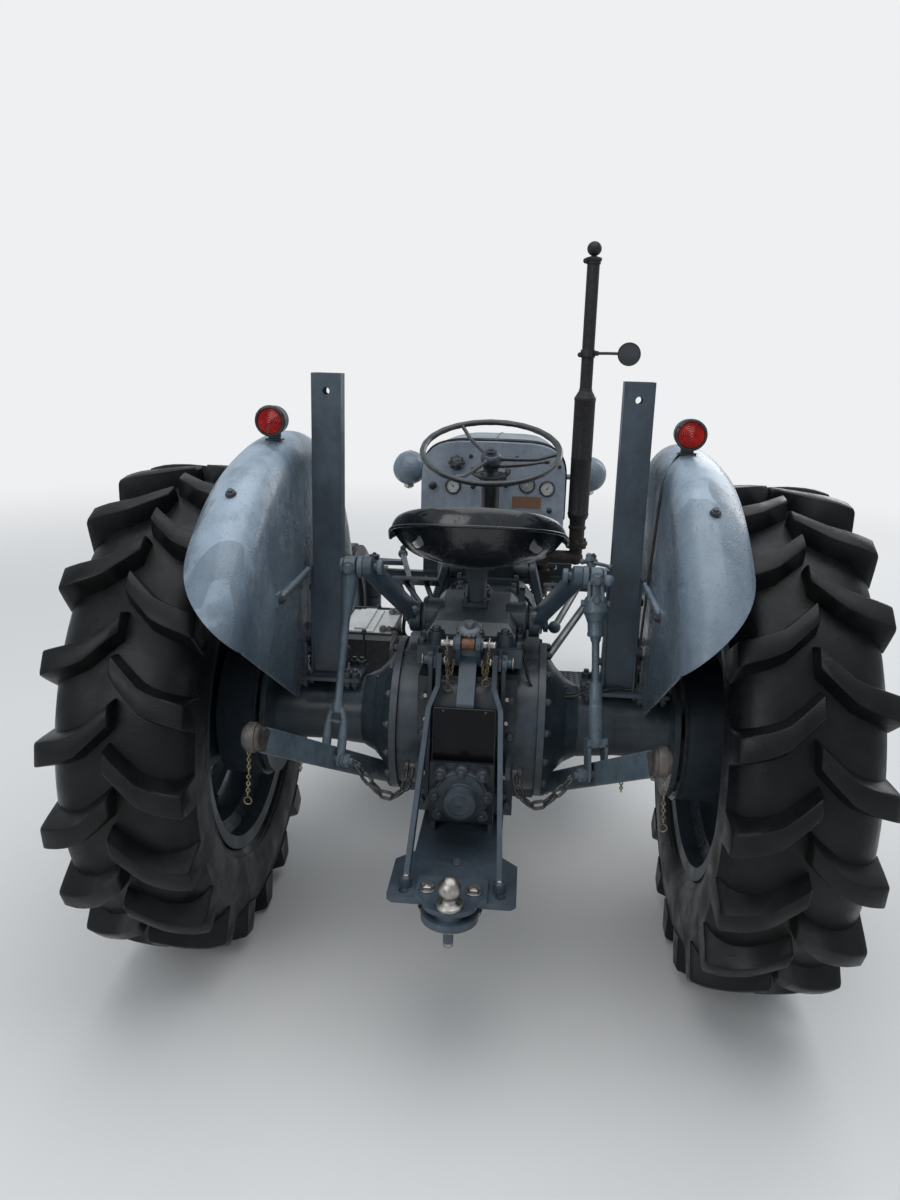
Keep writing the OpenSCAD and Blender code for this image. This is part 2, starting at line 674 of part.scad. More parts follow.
pad_z = axle_z + trumpet_r + 12;
plate_x0 = centre_half_w + 114;
post_wall = 5;
module posts() {
    wall = post_wall;
    y0 = -post_d / 2 - 18;
    plate_z = pad_z + seat_gap;
    foot_z = plate_z + plate_t;
    hole_drop = 42;
    color(paint) in_place() both_sides() {
        difference() {
            union() {
                box([plate_x0, -70, plate_z], [post_x + 128, 58, foot_z]);
                box([post_x - post_w / 2, y0, foot_z - 1], [post_x + post_w / 2, y0 + post_d, post_top]);
                // Channel that holds the foot of the post
                for (side = [-1, 1]) hull() {
                    translate([post_x + side * (post_w / 2 + wall / 2), y0 - 10, foot_z])
                        box([-wall / 2, 0, 0], [wall / 2, post_d + 22, 20]);
                    translate([post_x + side * (post_w / 2 + wall / 2), y0 + 4, foot_z])
                        box([-wall / 2, 0, 0], [wall / 2, post_d - 8, 285]);
                }
                box([post_x - post_w / 2 - wall, y0 + post_d, foot_z - 1], [post_x + post_w / 2 + wall, y0 + post_d + wall, 940]);
            }
            box([post_x - post_w / 2 + wall, y0 + wall, foot_z], [post_x + post_w / 2 - wall, y0 + post_d - wall, post_top + 1]);
            translate([post_x, 0, post_top - hole_drop]) round_bar_y(-200, 200, 9);
        }
    }
}

// Wings: a side plate that rolls over into a crown, its outer edge drawn in towards the two ends

wing_foot_r = 130;
module wings() {
    crown_x = wing_x + 60;
    crown_drop = 57;
    rear_end = 60;
    front_end = 66;
    taper = 16;
    function crown_r(x) = x < crown_x ? wing_r - 72 * (1 - sqrt(max(0, 1 - pow((crown_x - x) / (crown_x - wing_x), 2))))
        : wing_r - crown_drop * pow((x - crown_x) / (wing_edge_x - crown_x), 2);
    // How far the sheet reaches outwards at an angle behind the upright
    function reach(a) = let (over = max(0, a > 0 ? a - rear_end + taper : -a - front_end + taper) / taper)
        wing_x + 2 + (wing_edge_x - wing_x - 2) * sqrt(max(0, 1 - over * over));
    angles = [-66, -65, -62, -57, each [-50:10:40], 45, 50, 54, 57, 59, 60];
    across_share = [0, 0.02, 0.08, 0.18, 0.34, 0.52, 0.7, 0.86, 1];
    function point(a, x, r) = [x, -r * sin(a), axle_z + r * cos(a)];
    function row(a, t) = concat(
        [for (r = [wing_foot_r, (wing_r + wing_foot_r) / 2]) point(a, wing_x + t, r)],
        [for (s = across_share) let (x = wing_x + (reach(a) - wing_x) * s) point(a, x + (s < 0.3 ? t : 0), crown_r(x) - t)]);
    color(pale_paint) in_place() both_sides() {
        skin([for (a = angles) row(a, 0)], [for (a = angles) row(a, wing_t)]);
        // Brackets that join the plate to the axle
        for (y = [-50, 38]) box([wing_x - sheet_t, y, pad_z + plate_t + 2 * seat_gap], [wing_x + 1, y + 12, axle_z + wing_foot_r + 60]);
        // Brace from the post's foot to the plate
        rod([wing_x - 2, -300, 1000], [post_x + post_w / 2 + post_wall + 8 + seat_gap, -40, 1010], 8);
    }
}
// Height over the axle of the part of a wing on which a tail lamp stands
lamp_seat = wing_r - 9;
module tail_lamps() {
    x = wing_x + 50;
    z = axle_z + wing_r + 36;
    color(black) in_place() both_sides() translate([x, 0, z]) {
        round_bar_y(-150, -92, 34);
        round_bar_y(-156, -149, 36);
        box([-14, -118, lamp_seat - z + axle_z], [14, -106, -20]);
    }
}

// Lift linkage; the bar of each link stands as stored, close under the axle

link_pin = [link_pin_x, 100, 395];
link_ball = [link_ball_x, -580, 785];
rod_share = 0.47;
rod_foot = link_ball + (link_pin - link_ball) * rod_share;
arm_tip = [250, -150, 1050];
rod_head_x = arm_tip.x + 40;
module lift_arms() {
    color(paint) {
        translate(shaft_mid) round_bar_x(-172, 172, lift_shaft_r);
        both_sides() {
            translate(shaft_mid) round_bar_x(142, 168, 40);
            hull() {
                translate(shaft_mid) round_bar_x(144, 166, 22);
                translate([0, arm_tip.y, arm_tip.z]) round_bar_x(arm_tip.x - 11, arm_tip.x + 9, 25);
            }
        }
        both_sides() translate([0, arm_tip.y, arm_tip.z]) round_bar_x(arm_tip.x - 24, arm_tip.x + 66, 10);
    }
}
fork_gap = link_bar_t + 2 * run_gap + 8;
module lift_rod(has_gearbox) {
    head = [rod_head_x, arm_tip.y, arm_tip.z];
    down = (rod_foot - head) / norm(rod_foot - head);
    fork_top = rod_foot - down * 75;
    lean = atan2(link_ball_x - link_pin_x, link_pin.y - link_ball.y);
    color(paint) {
        difference() {
            translate(head) round_bar_x(-12, 16, 24);
            translate(head) round_bar_x(-40, 40, 10 + fit);
        }
        rod(head + down * 18, fork_top, lift_rod_r);
        if (has_gearbox) {
            // Levelling box with its crank, and the sleeve below
            box_top = 42;
            sleeve_top = 250;
            turned(head, fork_top, [[0, box_top], [19, box_top], [26, box_top + 8], [27, box_top + 42], [20, box_top + 66],
                [18, box_top + 88], [13, box_top + 92], [13, box_top + 112], [0, box_top + 112]]);
            turned(head, fork_top, [[0, sleeve_top], [14, sleeve_top], [17, sleeve_top + 8], [17, norm(fork_top - head)],
                [0, norm(fork_top - head)]]);
            crank_foot = head + down * (box_top + 20) + [0, 22, 0];
            rod(crank_foot, head + [30, 70, 50], 8);
            rod(head + down * (box_top + 20), crank_foot, 12);
            translate(crank_foot) sphere(r = 13);
        }
        // Fork whose cheeks stand clear of the bar on both sides
        translate(rod_foot) rotate([0, 0, lean]) {
            translate([-fork_gap / 2 - 7, -18, 62]) cube([fork_gap + 14, 36, 16]);
            for (side = [-1, 1]) translate([side * (fork_gap / 2 + 3.5), 0, 0]) hull() {
                translate([-3.5, -18, 62]) cube([7, 36, 6]);
                round_bar_x(-3.5, 3.5, 18);
            }
            for (side = [-1, 1]) translate([side * (fork_gap / 2 + 7), 0, 0]) round_bar_x(-4 + side * 4 - 0.5, 4 + side * 4, 14);
        }
    }
}
module lower_link() {
    color(paint) {
        difference() {
            union() {
                bar(link_pin, link_ball, link_bar_h, link_bar_t);
                translate([0, link_pin.y, link_pin.z]) round_bar_x(link_pin_x - 10, link_pin_x + 14, 30);
                translate(link_ball) across() rotate_extrude()
                    polygon([[0, -19], [24, -19], [30, -13], [32, -6], [32, 6], [30, 13], [24, 19], [0, 19]]);
            }
            translate([0, link_ball.y, link_ball.z]) round_bar_x(link_ball_x - 50, link_ball_x + 50, ball_hole_r);
        }
        translate([0, link_pin.y, link_pin.z]) round_bar_x(link_pin_x - 60, link_pin_x, 14);
    }
}
module top_link_rocker() {
    pin = [0, -202, 886];
    cheek_x = 24;
    color([0.45, 0.36, 0.28]) in_place() {
        difference() {
            union() for (side = [-1, 1]) hull() {
                translate([side * cheek_x - 6, -150 - 30 - seat_gap, 830]) cube([12, 30, 60]);
                translate(pin) round_bar_x(side * cheek_x - 6, side * cheek_x + 6, 22);
            }
            translate(pin) round_bar_x(-60, 60, top_pin_r);
        }
        translate(pin) round_bar_x(-62, 62, top_pin_r - fit);
        for (side = [-1, 1]) translate([side * 58, pin.y, pin.z]) cylinder(h = 32, r = 3, center = true);
        box([-cheek_x - 6, -150 - 12 - seat_gap, 835], [cheek_x + 6, -150 - seat_gap, 870]);
        // Flat bar that carries the number plate
        bar([0, -157, 858], [0, plate_y + 4, 752], 6, 34);
        box([-15, plate_y + seat_gap, 690], [15, plate_y + 7, 757]);
    }
}
chain_wire = 7;
module chain_link(pitch) {
    half_w = 12;
    function outline(half, reach, corner) = [[half, -reach + corner], [half, pitch + reach - corner],
        [half - corner, pitch + reach], [corner - half, pitch + reach], [-half, pitch + reach - corner],
        [-half, corner - reach], [corner - half, -reach], [half - corner, -reach]];
    rotate([90, 0, 0]) linear_extrude(chain_wire, center = true) difference() {
        polygon(outline(half_w, chain_wire - 1, 6));
        polygon(outline(half_w - 6, -1, 2));
    }
}
module check_chains() {
    color([0.30, 0.28, 0.26]) in_place() both_sides() {
        // Where each link of the chain begins, from the housing to the lower link
        joints = [chain_pin + [14, 0, 0], [138, -252, 563], [155, -254, 545], [180, -254, 540], [205, -252, 547],
            [230, -249, 562], [256, -246, 582]];
        for (i = [0:len(joints) - 2]) along(joints[i], joints[i + 1]) rotate([0, 0, i % 2 * 90])
            chain_link(norm(joints[i + 1] - joints[i]));
        translate([0, chain_pin.y, chain_pin.z]) round_bar_x(chain_pin.x + seat_gap, chain_pin.x + 18, 8);
    }
}

// Hitch plate, its stays and the plate that holds the number

hitch_rear = -545;
plate_y = -262;
module hitch() {
    plate_h = 14;
    neck_half_w = 100;
    waist_y = -350;
    corner = 12;
    nose_y = hitch_rear - 12;
    nose_r = 62;
    ball_y = -590;
    color(paint) in_place() difference() {
        union() {
            // Main plate, wide behind and drawn in towards the housing
            translate([0, 0, hitch_z - plate_h]) linear_extrude(plate_h) polygon([
                [corner - hitch_half_w, hitch_rear], [hitch_half_w - corner, hitch_rear], [hitch_half_w, hitch_rear + corner],
                [hitch_half_w, waist_y - 40], [neck_half_w, waist_y], [neck_half_w, -70],
                [-neck_half_w, -70], [-neck_half_w, waist_y], [-hitch_half_w, waist_y - 40],
                [-hitch_half_w, hitch_rear + corner]]);
            // Lower plate with its round nose
            translate([0, nose_y, hitch_z - plate_h - 16]) cylinder(h = 17, r = nose_r);
            box([-nose_r, nose_y, hitch_z - plate_h - 16], [nose_r, hitch_rear + 90, hitch_z - plate_h + 1]);
        }
        for (x = [-105, 105]) translate([x, hitch_rear + 28, hitch_z - 40]) cylinder(h = 60, r = 11);
        translate([0, hitch_rear + 160, hitch_z - 40]) cylinder(h = 60, r = 13);
        translate([0, ball_y + 10, hitch_z - 60]) cylinder(h = 100, r = 11);
    }
    color(bare_steel) in_place() translate([0, ball_y + 10, 0]) {
        cylinder_at([0, 0, hitch_z - 75], hitch_z + 30, 11 - fit);
        cylinder_at([0, 0, hitch_z - 14 + seat_gap], hitch_z + 4, 30);
        cylinder_at([0, 0, hitch_z], hitch_z + 34, 16);
        translate([0, 0, hitch_z + 52]) sphere(r = tow_ball_r);
    }
}
module hitch_stays() {
    // Each bend of a stay: distance from the middle, distance behind the axle, height
    bends = [[66, -212, 862], [66, -236, 790], [84, -262, 742], [102, -498, 432]];
    outer = [[86, -206, 862], [90, -212, 500]];
    color(paint) in_place() both_sides() {
        strap(bends, 30, 12);
        translate([bends[3].x, bends[3].y, hitch_z + seat_gap]) cylinder(h = 22, r = 13);
        strap(outer, 30, 10);
        translate([0, stay_pin.y, stay_pin.z]) round_bar_x(56, 104, 9);
    }
}
module number_plate() {
    color(black) in_place() box([-72, plate_y - 4, 612], [72, plate_y, 750]);
}

// Seat pan on its bracket

seat_mid = [0, 80, seat_rim_z];
module seat() {
    pan_t = 4;
    bottom_share = 0.5;
    // Share of the way from the middle to the crest; past 1 the edge rolls over outwards
    ring_share = [0.02, 0.3, bottom_share, 0.68, 0.8, 0.9, 0.97, 1, 1.03, 1.06];
    function back(a) = pow(max(0, -sin(a)), 1.6);
    function roll(a) = 10 + 32 * back(a);
    function height(s, a) = let (in = min(s, 1), over = max(0, s - 1) / 0.06)
        -seat_depth * (1 - pow(in, 5)) + seat_back_rise * back(a) * pow(in, 4) - roll(a) * over * over;
    function pan(s, a, t) = seat_mid + [seat_half_w * s * cos(a) / 1.06, seat_half_l * s * sin(a) / 1.06, height(s, a) - t];
    // Oblique drain slots: place, turn; and the round hole between them
    slots = [[-150, 25, 62], [150, 25, -62]];
    slot_half_l = 30;
    slot_r = 7;
    color(black) in_place() difference() {
        loft_pan([for (s = ring_share) [for (a = [0:12:348]) pan(s, a, 0)]],
            [for (s = ring_share) [for (a = [0:12:348]) pan(s, a, pan_t)]]);
        for (slot = slots) translate([slot[0], slot[1], seat_rim_z - seat_depth - 10]) rotate([0, 0, slot[2]]) {
            translate([-slot_half_l, -slot_r, 0]) cube([2 * slot_half_l, 2 * slot_r, seat_depth]);
            for (end = [-1, 1]) translate([end * slot_half_l, 0, 0]) cylinder(h = seat_depth, r = slot_r);
        }
        translate([0, 150, seat_rim_z - seat_depth - 10]) cylinder(h = 20, r = 12);
    }
    color(dark_paint) in_place() {
        pan_low = seat_rim_z - seat_depth - pan_t - seat_gap;
        box([-32, 40, cover_top + seat_gap], [32, 120, cover_top + 12]);
        hull() {
            box([-30, 60, cover_top + 9], [30, 110, cover_top + 19]);
            box([-30, 60, pan_low - 12], [30, 130, pan_low]);
        }
    }
}
// A dish between an upper and a lower set of rings, closed at its rim and its middle
module loft_pan(upper, lower) {
    n = len(upper);
    m = len(upper[0]);
    function at(k, i, j) = (k * n + i) * m + j % m;
    quads = concat(
        [for (i = [0:n - 2], j = [0:m - 1]) [at(0, i, j), at(0, i, j + 1), at(0, i + 1, j + 1), at(0, i + 1, j)]],
        [for (i = [0:n - 2], j = [0:m - 1]) [at(1, i, j), at(1, i + 1, j), at(1, i + 1, j + 1), at(1, i, j + 1)]],
        [for (j = [0:m - 1]) [at(0, n - 1, j), at(0, n - 1, j + 1), at(1, n - 1, j + 1), at(1, n - 1, j)]]);
    middles = [[for (j = [m - 1:-1:0]) at(0, 0, j)], [for (j = [0:m - 1]) at(1, 0, j)]];
    polyhedron([for (grid = [upper, lower]) for (row = grid) each row], concat(triangles(quads), middles));
}

// Footplates, battery and pedals

foot_z = 420;
foot_x0 = 205;
foot_x1 = 420;
foot_y0 = gearbox_rear + 260;
foot_y1 = dash_y + 15;
bracket_y = [foot_y0 + 40, foot_y1 - 180];
module footplates() {
    color(dark_paint) in_place() both_sides() {
        box([foot_x0, foot_y0, foot_z - 5], [foot_x1, foot_y1, foot_z]);
        box([foot_x0, foot_y0, foot_z - 30], [foot_x0 + 5, foot_y1, foot_z]);
        box([foot_x1 - 5, foot_y0, foot_z - 30], [foot_x1, foot_y1, foot_z]);
        // Brackets under the plate, bolted to the gearbox
        for (y = bracket_y) box([130 + seat_gap, y, foot_z - 18], [foot_x1 - 4, y + 40, foot_z - 4]);
    }
}
battery_mid = [-400, foot_y1 - 200];
module battery() {
    x0 = battery_mid.x - battery_w / 2;
    y0 = battery_mid.y - battery_l / 2;
    color(black) in_place() {
        box([x0, y0, foot_z + seat_gap], [x0 + battery_w, y0 + battery_l, foot_z + battery_h]);
        for (y = [y0 + 40, y0 + battery_l - 40]) cylinder_at([x0 + battery_w - 30, y, foot_z + battery_h - 1], foot_z + battery_h + 18, 8);
    }
}
pedal_axis = [0, gearbox_rear + 170, 520];
module pedals() {
    // Each pedal: side, distance of the arm from the middle, distance of the pad from the middle
    table = [[-1, 148, 205], [-1, 172, 275], [1, 148, 230]];
    pad = [0, drop_axis.y - 121, 800];
    color(paint) in_place() {
        for (p = table) on_side(p[0]) {
            hull() {
                translate(pedal_axis) round_bar_x(p[1] - 8, p[1] + 8, 24);
                translate([0, pad.y - 90, pad.z - 110]) round_bar_x(p[1] - 8, p[1] + 8, 14);
            }
            rod([p[1], pad.y - 90, pad.z - 110], [p[2], pad.y, pad.z - 8], 9);
            translate([p[2], pad.y, pad.z]) rotate([-28, 0, 0]) box([-42, -38, -6], [42, 38, 4]);
        }
        translate(pedal_axis) round_bar_x(-188, -130 - seat_gap, 12);
        translate(pedal_axis) round_bar_x(130 + seat_gap, 164, 12);
    }
}

// Bonnet, fuel tank and dash

bonnet_rear = dash_y + 8;
crown_h = 150;
// Half the outline of a bonnet section: half width, height of the top, height of the lower edge
function bonnet_outline(w, top, low, t) = let (steps = 16) concat(
    [[w - t, low]],
    [for (i = [0:steps]) let (a = 180 * i / steps, c = cos(a))
        [(w - t) * sign(c) * pow(abs(c), 0.42), top - crown_h + (crown_h - t) * pow(sin(a), 0.62)]],
    [[-w + t, low]]);
// Each section of the bonnet: distance ahead of the rear axle, half width, top, lower edge
bonnet_sections = [[bonnet_rear, bonnet_half_w, bonnet_top, 985],
    [nose_y - 940, bonnet_half_w - 8, bonnet_top - 4, 975], [nose_y - 720, bonnet_half_w - 20, bonnet_top - 12, 965],
    [nose_y - 540, bonnet_half_w - 30, bonnet_top - 22, 950], [nose_y - 460, bonnet_half_w - 34, bonnet_top - 27, 900],
    [nose_y - 400, bonnet_half_w - 37, bonnet_top - 32, 760], [nose_y - 340, nose_half_w + 8, bonnet_top - 37, 690],
    [nose_y - 210, nose_half_w + 2, bonnet_top - 48, 660], [nose_y - 100, nose_half_w - 6, bonnet_top - 66, 652],
    [nose_y - 40, nose_half_w - 18, bonnet_top - 92, 650], [nose_y - 12, nose_half_w - 32, bonnet_top - 122, 650],
    [nose_y, nose_half_w - 48, bonnet_top - 158, 650]];
module bonnet() {
    function row(s, t) = [for (p = bonnet_outline(s[1], s[2], s[3], t)) [p.x, s[0], p.y]];
    color(pale_paint) skin([for (s = bonnet_sections) row(s, 0)], [for (s = bonnet_sections) row(s, bonnet_t)]);
}
module grille() {
    last = bonnet_sections[len(bonnet_sections) - 1];
    low = last[3] + 4;
    edge = bonnet_t + seat_gap;
    rim = 18;
    bar_w = 8;
    pitch = 2 * (last[1] - edge - rim) / (grille_bars + 1);
    module face(depth, inset) translate([0, nose_y, 0]) rotate([90, 0, 0]) linear_extrude(depth)
        polygon(bonnet_outline(last[1], last[2], low + inset, edge + inset));
    color(dark_paint) {
        difference() {
            face(14, 0);
            translate([0, 1, 0]) face(16, rim);
        }
        intersection() {
            translate([0, -3, 0]) face(9, rim / 2);
            for (i = [-(grille_bars - 1) / 2:(grille_bars - 1) / 2])
                box([i * pitch - bar_w / 2, nose_y - 20, low], [i * pitch + bar_w / 2, nose_y, last[2]]);
        }
        // Lugs and pins of the hinge
        both_sides() {
            translate([0, hinge_y, hinge_z]) round_bar_x(hinge_x + 12, hinge_x + 26, 20);
            box([hinge_x + 12, hinge_y, hinge_z - 6], [hinge_x + 26, nose_y - 8, hinge_z + 40]);
            translate([0, hinge_y, hinge_z]) round_bar_x(hinge_x - 8, hinge_x + 26, hinge_r);
        }
    }
}
module headlamps() {
    lamp = [368, engine_front - 93, 1085];
    side_x = lookup(lamp.y, [for (s = bonnet_sections) [s[0], s[1]]]);
    shell_r = 66;
    color(pale_paint) both_sides() translate([lamp.x, 0, lamp.z]) {
        translate([0, lamp.y + 42, 0]) rotate([90, 0, 0]) rotate_extrude() polygon(concat([[0, 0], [shell_r - 3, 0],
            [shell_r, 10]], [for (a = [0:15:90]) [shell_r * cos(a), 40 + shell_r * sin(a)]]));
        translate([0, lamp.y, -10]) round_bar_x(side_x + 1 - lamp.x, 20 - shell_r, 11);
    }
}
module fuel_tank() {
    rear = dash_y + 45;
    front = engine_front - 40;
    color(dark_paint) in_place() {
        intersection() {
            box([-190, rear, 990], [190, front, 1215]);
            translate([0, 0, 1000]) round_bar_y(rear - 1, front + 1, 245);
        }
        for (y = [rear + 50, front - 80]) both_sides() box([88, y, head_top + seat_gap], [104, y + 30, 991]);
    }
}
module dash() {
    outline = bonnet_outline(bonnet_half_w, bonnet_top, 930, 0);
    color(paint) in_place() {
        translate([0, dash_y, 0]) rotate([90, 0, 0]) linear_extrude(45) polygon(outline);
        // Legs that stand on the clutch housing
        both_sides() box([60, dash_y - 42, 794 + seat_gap], [100, dash_y - 4, 932]);
    }
}

// Exhaust stack with its silencer and rain cap, and the mirror clamped to it

stack_y = dash_y + 20;
stack_foot = manifold_z + 50;
module exhaust() {
    color([0.18, 0.15, 0.13]) in_place() translate([stack_x, stack_y, 0]) {
        cylinder_at([0, 0, stack_foot], 1110, stack_r + 6);
        cylinder_at([0, 0, 1090], 1430, silencer_r);
        cylinder_at([0, 0, 1425], stack_top, stack_r);
        cylinder_at([0, 0, stack_top - 12], stack_top + 3, stack_r + 7);
        translate([0, 0, stack_top + 34]) sphere(r = 24);
        cylinder_at([0, 0, stack_top + 1], stack_top + 30, 6);
    }
}
module rear_mirror() {
    clamp_z = 1560;
    mid = [stack_x + 133, stack_y - 55, clamp_z];
    color(black) in_place() {
        difference() {
            cylinder_at([stack_x, stack_y, clamp_z - 12], clamp_z + 12, stack_r + 5);
            translate([stack_x, stack_y, clamp_z - 20]) cylinder(h = 40, r = stack_r + seat_gap);
        }
        rod([stack_x + stack_r + 3, stack_y - 4, clamp_z], mid + [-10, 24, 0], 5);
        translate([mid.x, 0, mid.z]) round_bar_y(mid.y, mid.y + 26, 38);
    }
}

engine();
manifold();
engine_units();
radiator();
front_support();
in_place() front_axle();
gearbox();
steering_box();
rear_housing();
axle_housings();
wings();
tail_lamps();
posts();
seat();
footplates();
battery();
pedals();
dash();
fuel_tank();
exhaust();
rear_mirror();
hitch();
hitch_stays();
number_plate();
top_link_rocker();
check_chains();
at_rear_wheel(-1) rear_tyre();  // rear_tyre_left
at_rear_wheel(1) rear_tyre();  // rear_tyre_right
at_rear_wheel(-1) rear_rim();  // rear_rim_left
at_rear_wheel(1) rear_rim();  // rear_rim_right
at_front_wheel(-1) front_tyre();  // front_tyre_left
at_front_wheel(1) front_tyre();  // front_tyre_right
at_front_wheel(-1) front_rim();  // front_rim_left
at_front_wheel(1) front_rim();  // front_rim_right
at_kingpin(-1) knuckle();  // knuckle_left
at_kingpin(1) knuckle();  // knuckle_right
steering_wheel();
in_place() on_side(-1) drop_arm();  // drop_arm_left
in_place() on_side(1) drop_arm();  // drop_arm_right
in_place() on_side(-1) drag_link();  // drag_link_left
in_place() on_side(1) drag_link();  // drag_link_right
in_place() lift_arms();
in_place() on_side(-1) lift_rod(false);  // lift_rod_left
in_place() on_side(1) lift_rod(true);  // lift_rod_right
in_place() on_side(-1) lower_link();  // lower_link_left
in_place() on_side(1) lower_link();  // lower_link_right
in_place() bonnet();
in_place() grille();
in_place() headlamps();
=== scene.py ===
from math import atan2, copysign, cos, pi, radians, sin, sqrt, tau
import bpy
import bmesh
from mathutils import Matrix, Vector


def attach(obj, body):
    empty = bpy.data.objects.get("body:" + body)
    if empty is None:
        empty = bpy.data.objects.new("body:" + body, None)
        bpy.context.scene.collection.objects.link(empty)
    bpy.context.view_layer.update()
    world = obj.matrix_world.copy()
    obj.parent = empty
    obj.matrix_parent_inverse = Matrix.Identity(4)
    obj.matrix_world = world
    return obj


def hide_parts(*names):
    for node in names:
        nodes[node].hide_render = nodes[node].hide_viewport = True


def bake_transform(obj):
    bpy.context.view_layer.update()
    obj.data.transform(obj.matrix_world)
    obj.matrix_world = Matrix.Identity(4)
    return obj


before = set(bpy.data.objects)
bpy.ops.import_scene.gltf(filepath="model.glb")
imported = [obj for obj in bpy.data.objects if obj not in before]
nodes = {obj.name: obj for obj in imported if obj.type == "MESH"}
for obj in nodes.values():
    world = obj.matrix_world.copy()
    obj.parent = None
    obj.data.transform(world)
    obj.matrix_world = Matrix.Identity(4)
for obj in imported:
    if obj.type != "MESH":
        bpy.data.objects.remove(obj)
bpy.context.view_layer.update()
axleShift = -0.756        # where the rear axle lies in the part's frame, in metres
mm = 0.001                # lengths below are in millimetres, measured from under the rear axle
print("frame loaded")


# Finishes

class Finish:             # one node material, built step by step
    def __init__(self, name):
        self.mat = bpy.data.materials.new(name)
        self.mat.use_nodes = True
        self.tree = self.mat.node_tree
        self.shader = self.tree.nodes["Principled BSDF"]
        self.coords = self.add("ShaderNodeTexCoord").outputs["Object"]

    def add(self, kind, **values):
        node = self.tree.nodes.new(kind)
        for key, value in values.items():
            setattr(node, key, value)
        return node

    def link(self, source, target):
        if hasattr(source, "is_output"):
            self.tree.links.new(source, target)
        else:
            target.default_value = source

    def noise(self, scale, detail=4.0, rough=0.55, stretch=None, distort=0.0):
        node = self.add("ShaderNodeTexNoise")
        place = self.coords
        if stretch:
            mapping = self.add("ShaderNodeMapping")
            mapping.inputs["Scale"].default_value = stretch
            self.link(self.coords, mapping.inputs["Vector"])
            place = mapping.outputs["Vector"]
        self.link(place, node.inputs["Vector"])
        node.inputs["Scale"].default_value = scale
        node.inputs["Detail"].default_value = detail
        node.inputs["Roughness"].default_value = rough
        node.inputs["Distortion"].default_value = distort
        return node.outputs["Fac"]

    def cells(self, scale):
        node = self.add("ShaderNodeTexVoronoi")
        self.link(self.coords, node.inputs["Vector"])
        node.inputs["Scale"].default_value = scale
        return node.outputs["Distance"]

    def ramp(self, source, low, high, start=0.0, end=1.0):
        node = self.add("ShaderNodeMapRange", interpolation_type="SMOOTHSTEP")
        self.link(source, node.inputs["Value"])
        for key, value in zip(("From Min", "From Max", "To Min", "To Max"), (low, high, start, end)):
            node.inputs[key].default_value = value
        return node.outputs["Result"]

    def sum(self, kind, first, second=0.0):
        node = self.add("ShaderNodeMath", operation=kind)
        self.link(first, node.inputs[0])
        self.link(second, node.inputs[1])
        return node.outputs[0]

    def times(self, first, second):
        return self.sum("MULTIPLY", first, second)

    def blend(self, share, first, second):
        node = self.add("ShaderNodeMix", data_type="RGBA")
        self.link(share, node.inputs[0])
        self.link(first if hasattr(first, "is_output") else (*first, 1), node.inputs[6])
        self.link(second if hasattr(second, "is_output") else (*second, 1), node.inputs[7])
        return node.outputs[2]

    def edges(self):                          # worn outer edges
        return self.ramp(self.add("ShaderNodeNewGeometry").outputs["Pointiness"], 0.52, 0.6)

    def hollows(self):                        # inner corners, for grime and for painted shade
        return self.ramp(self.add("ShaderNodeNewGeometry").outputs["Pointiness"], 0.42, 0.49, 1.0, 0.0)

    def facing(self, low, high):              # 1 on faces that look up
        split = self.add("ShaderNodeSeparateXYZ")
        self.link(self.add("ShaderNodeNewGeometry").outputs["Normal"], split.inputs[0])
        return self.ramp(split.outputs["Z"], low, high)

    def height(self):
        split = self.add("ShaderNodeSeparateXYZ")
        self.link(self.coords, split.inputs[0])
        return split.outputs["Z"]

    def bump(self, height, strength, distance, under=None):
        node = self.add("ShaderNodeBump")
        node.inputs["Strength"].default_value = strength
        node.inputs["Distance"].default_value = distance
        self.link(height, node.inputs["Height"])
        if under is not None:
            self.link(under, node.inputs["Normal"])
        return node.outputs["Normal"]

    def rounded(self, radius):                # softens the machined edges of solid pieces
        node = self.add("ShaderNodeBevel", samples=4)
        node.inputs["Radius"].default_value = radius
        return node.outputs["Normal"]

    def set(self, **sockets):
        for key, value in sockets.items():
            name = {"color": "Base Color", "rough": "Roughness", "metal": "Metallic", "normal": "Normal",
                    "coat": "Coat Weight", "coatRough": "Coat Roughness", "glass": "Transmission Weight",
                    "ior": "IOR", "specular": "Specular IOR Level"}[key]
            if key == "color" and not hasattr(value, "is_output"):
                value = (*value, 1)
            self.link(value, self.shader.inputs[name])
        return self.mat


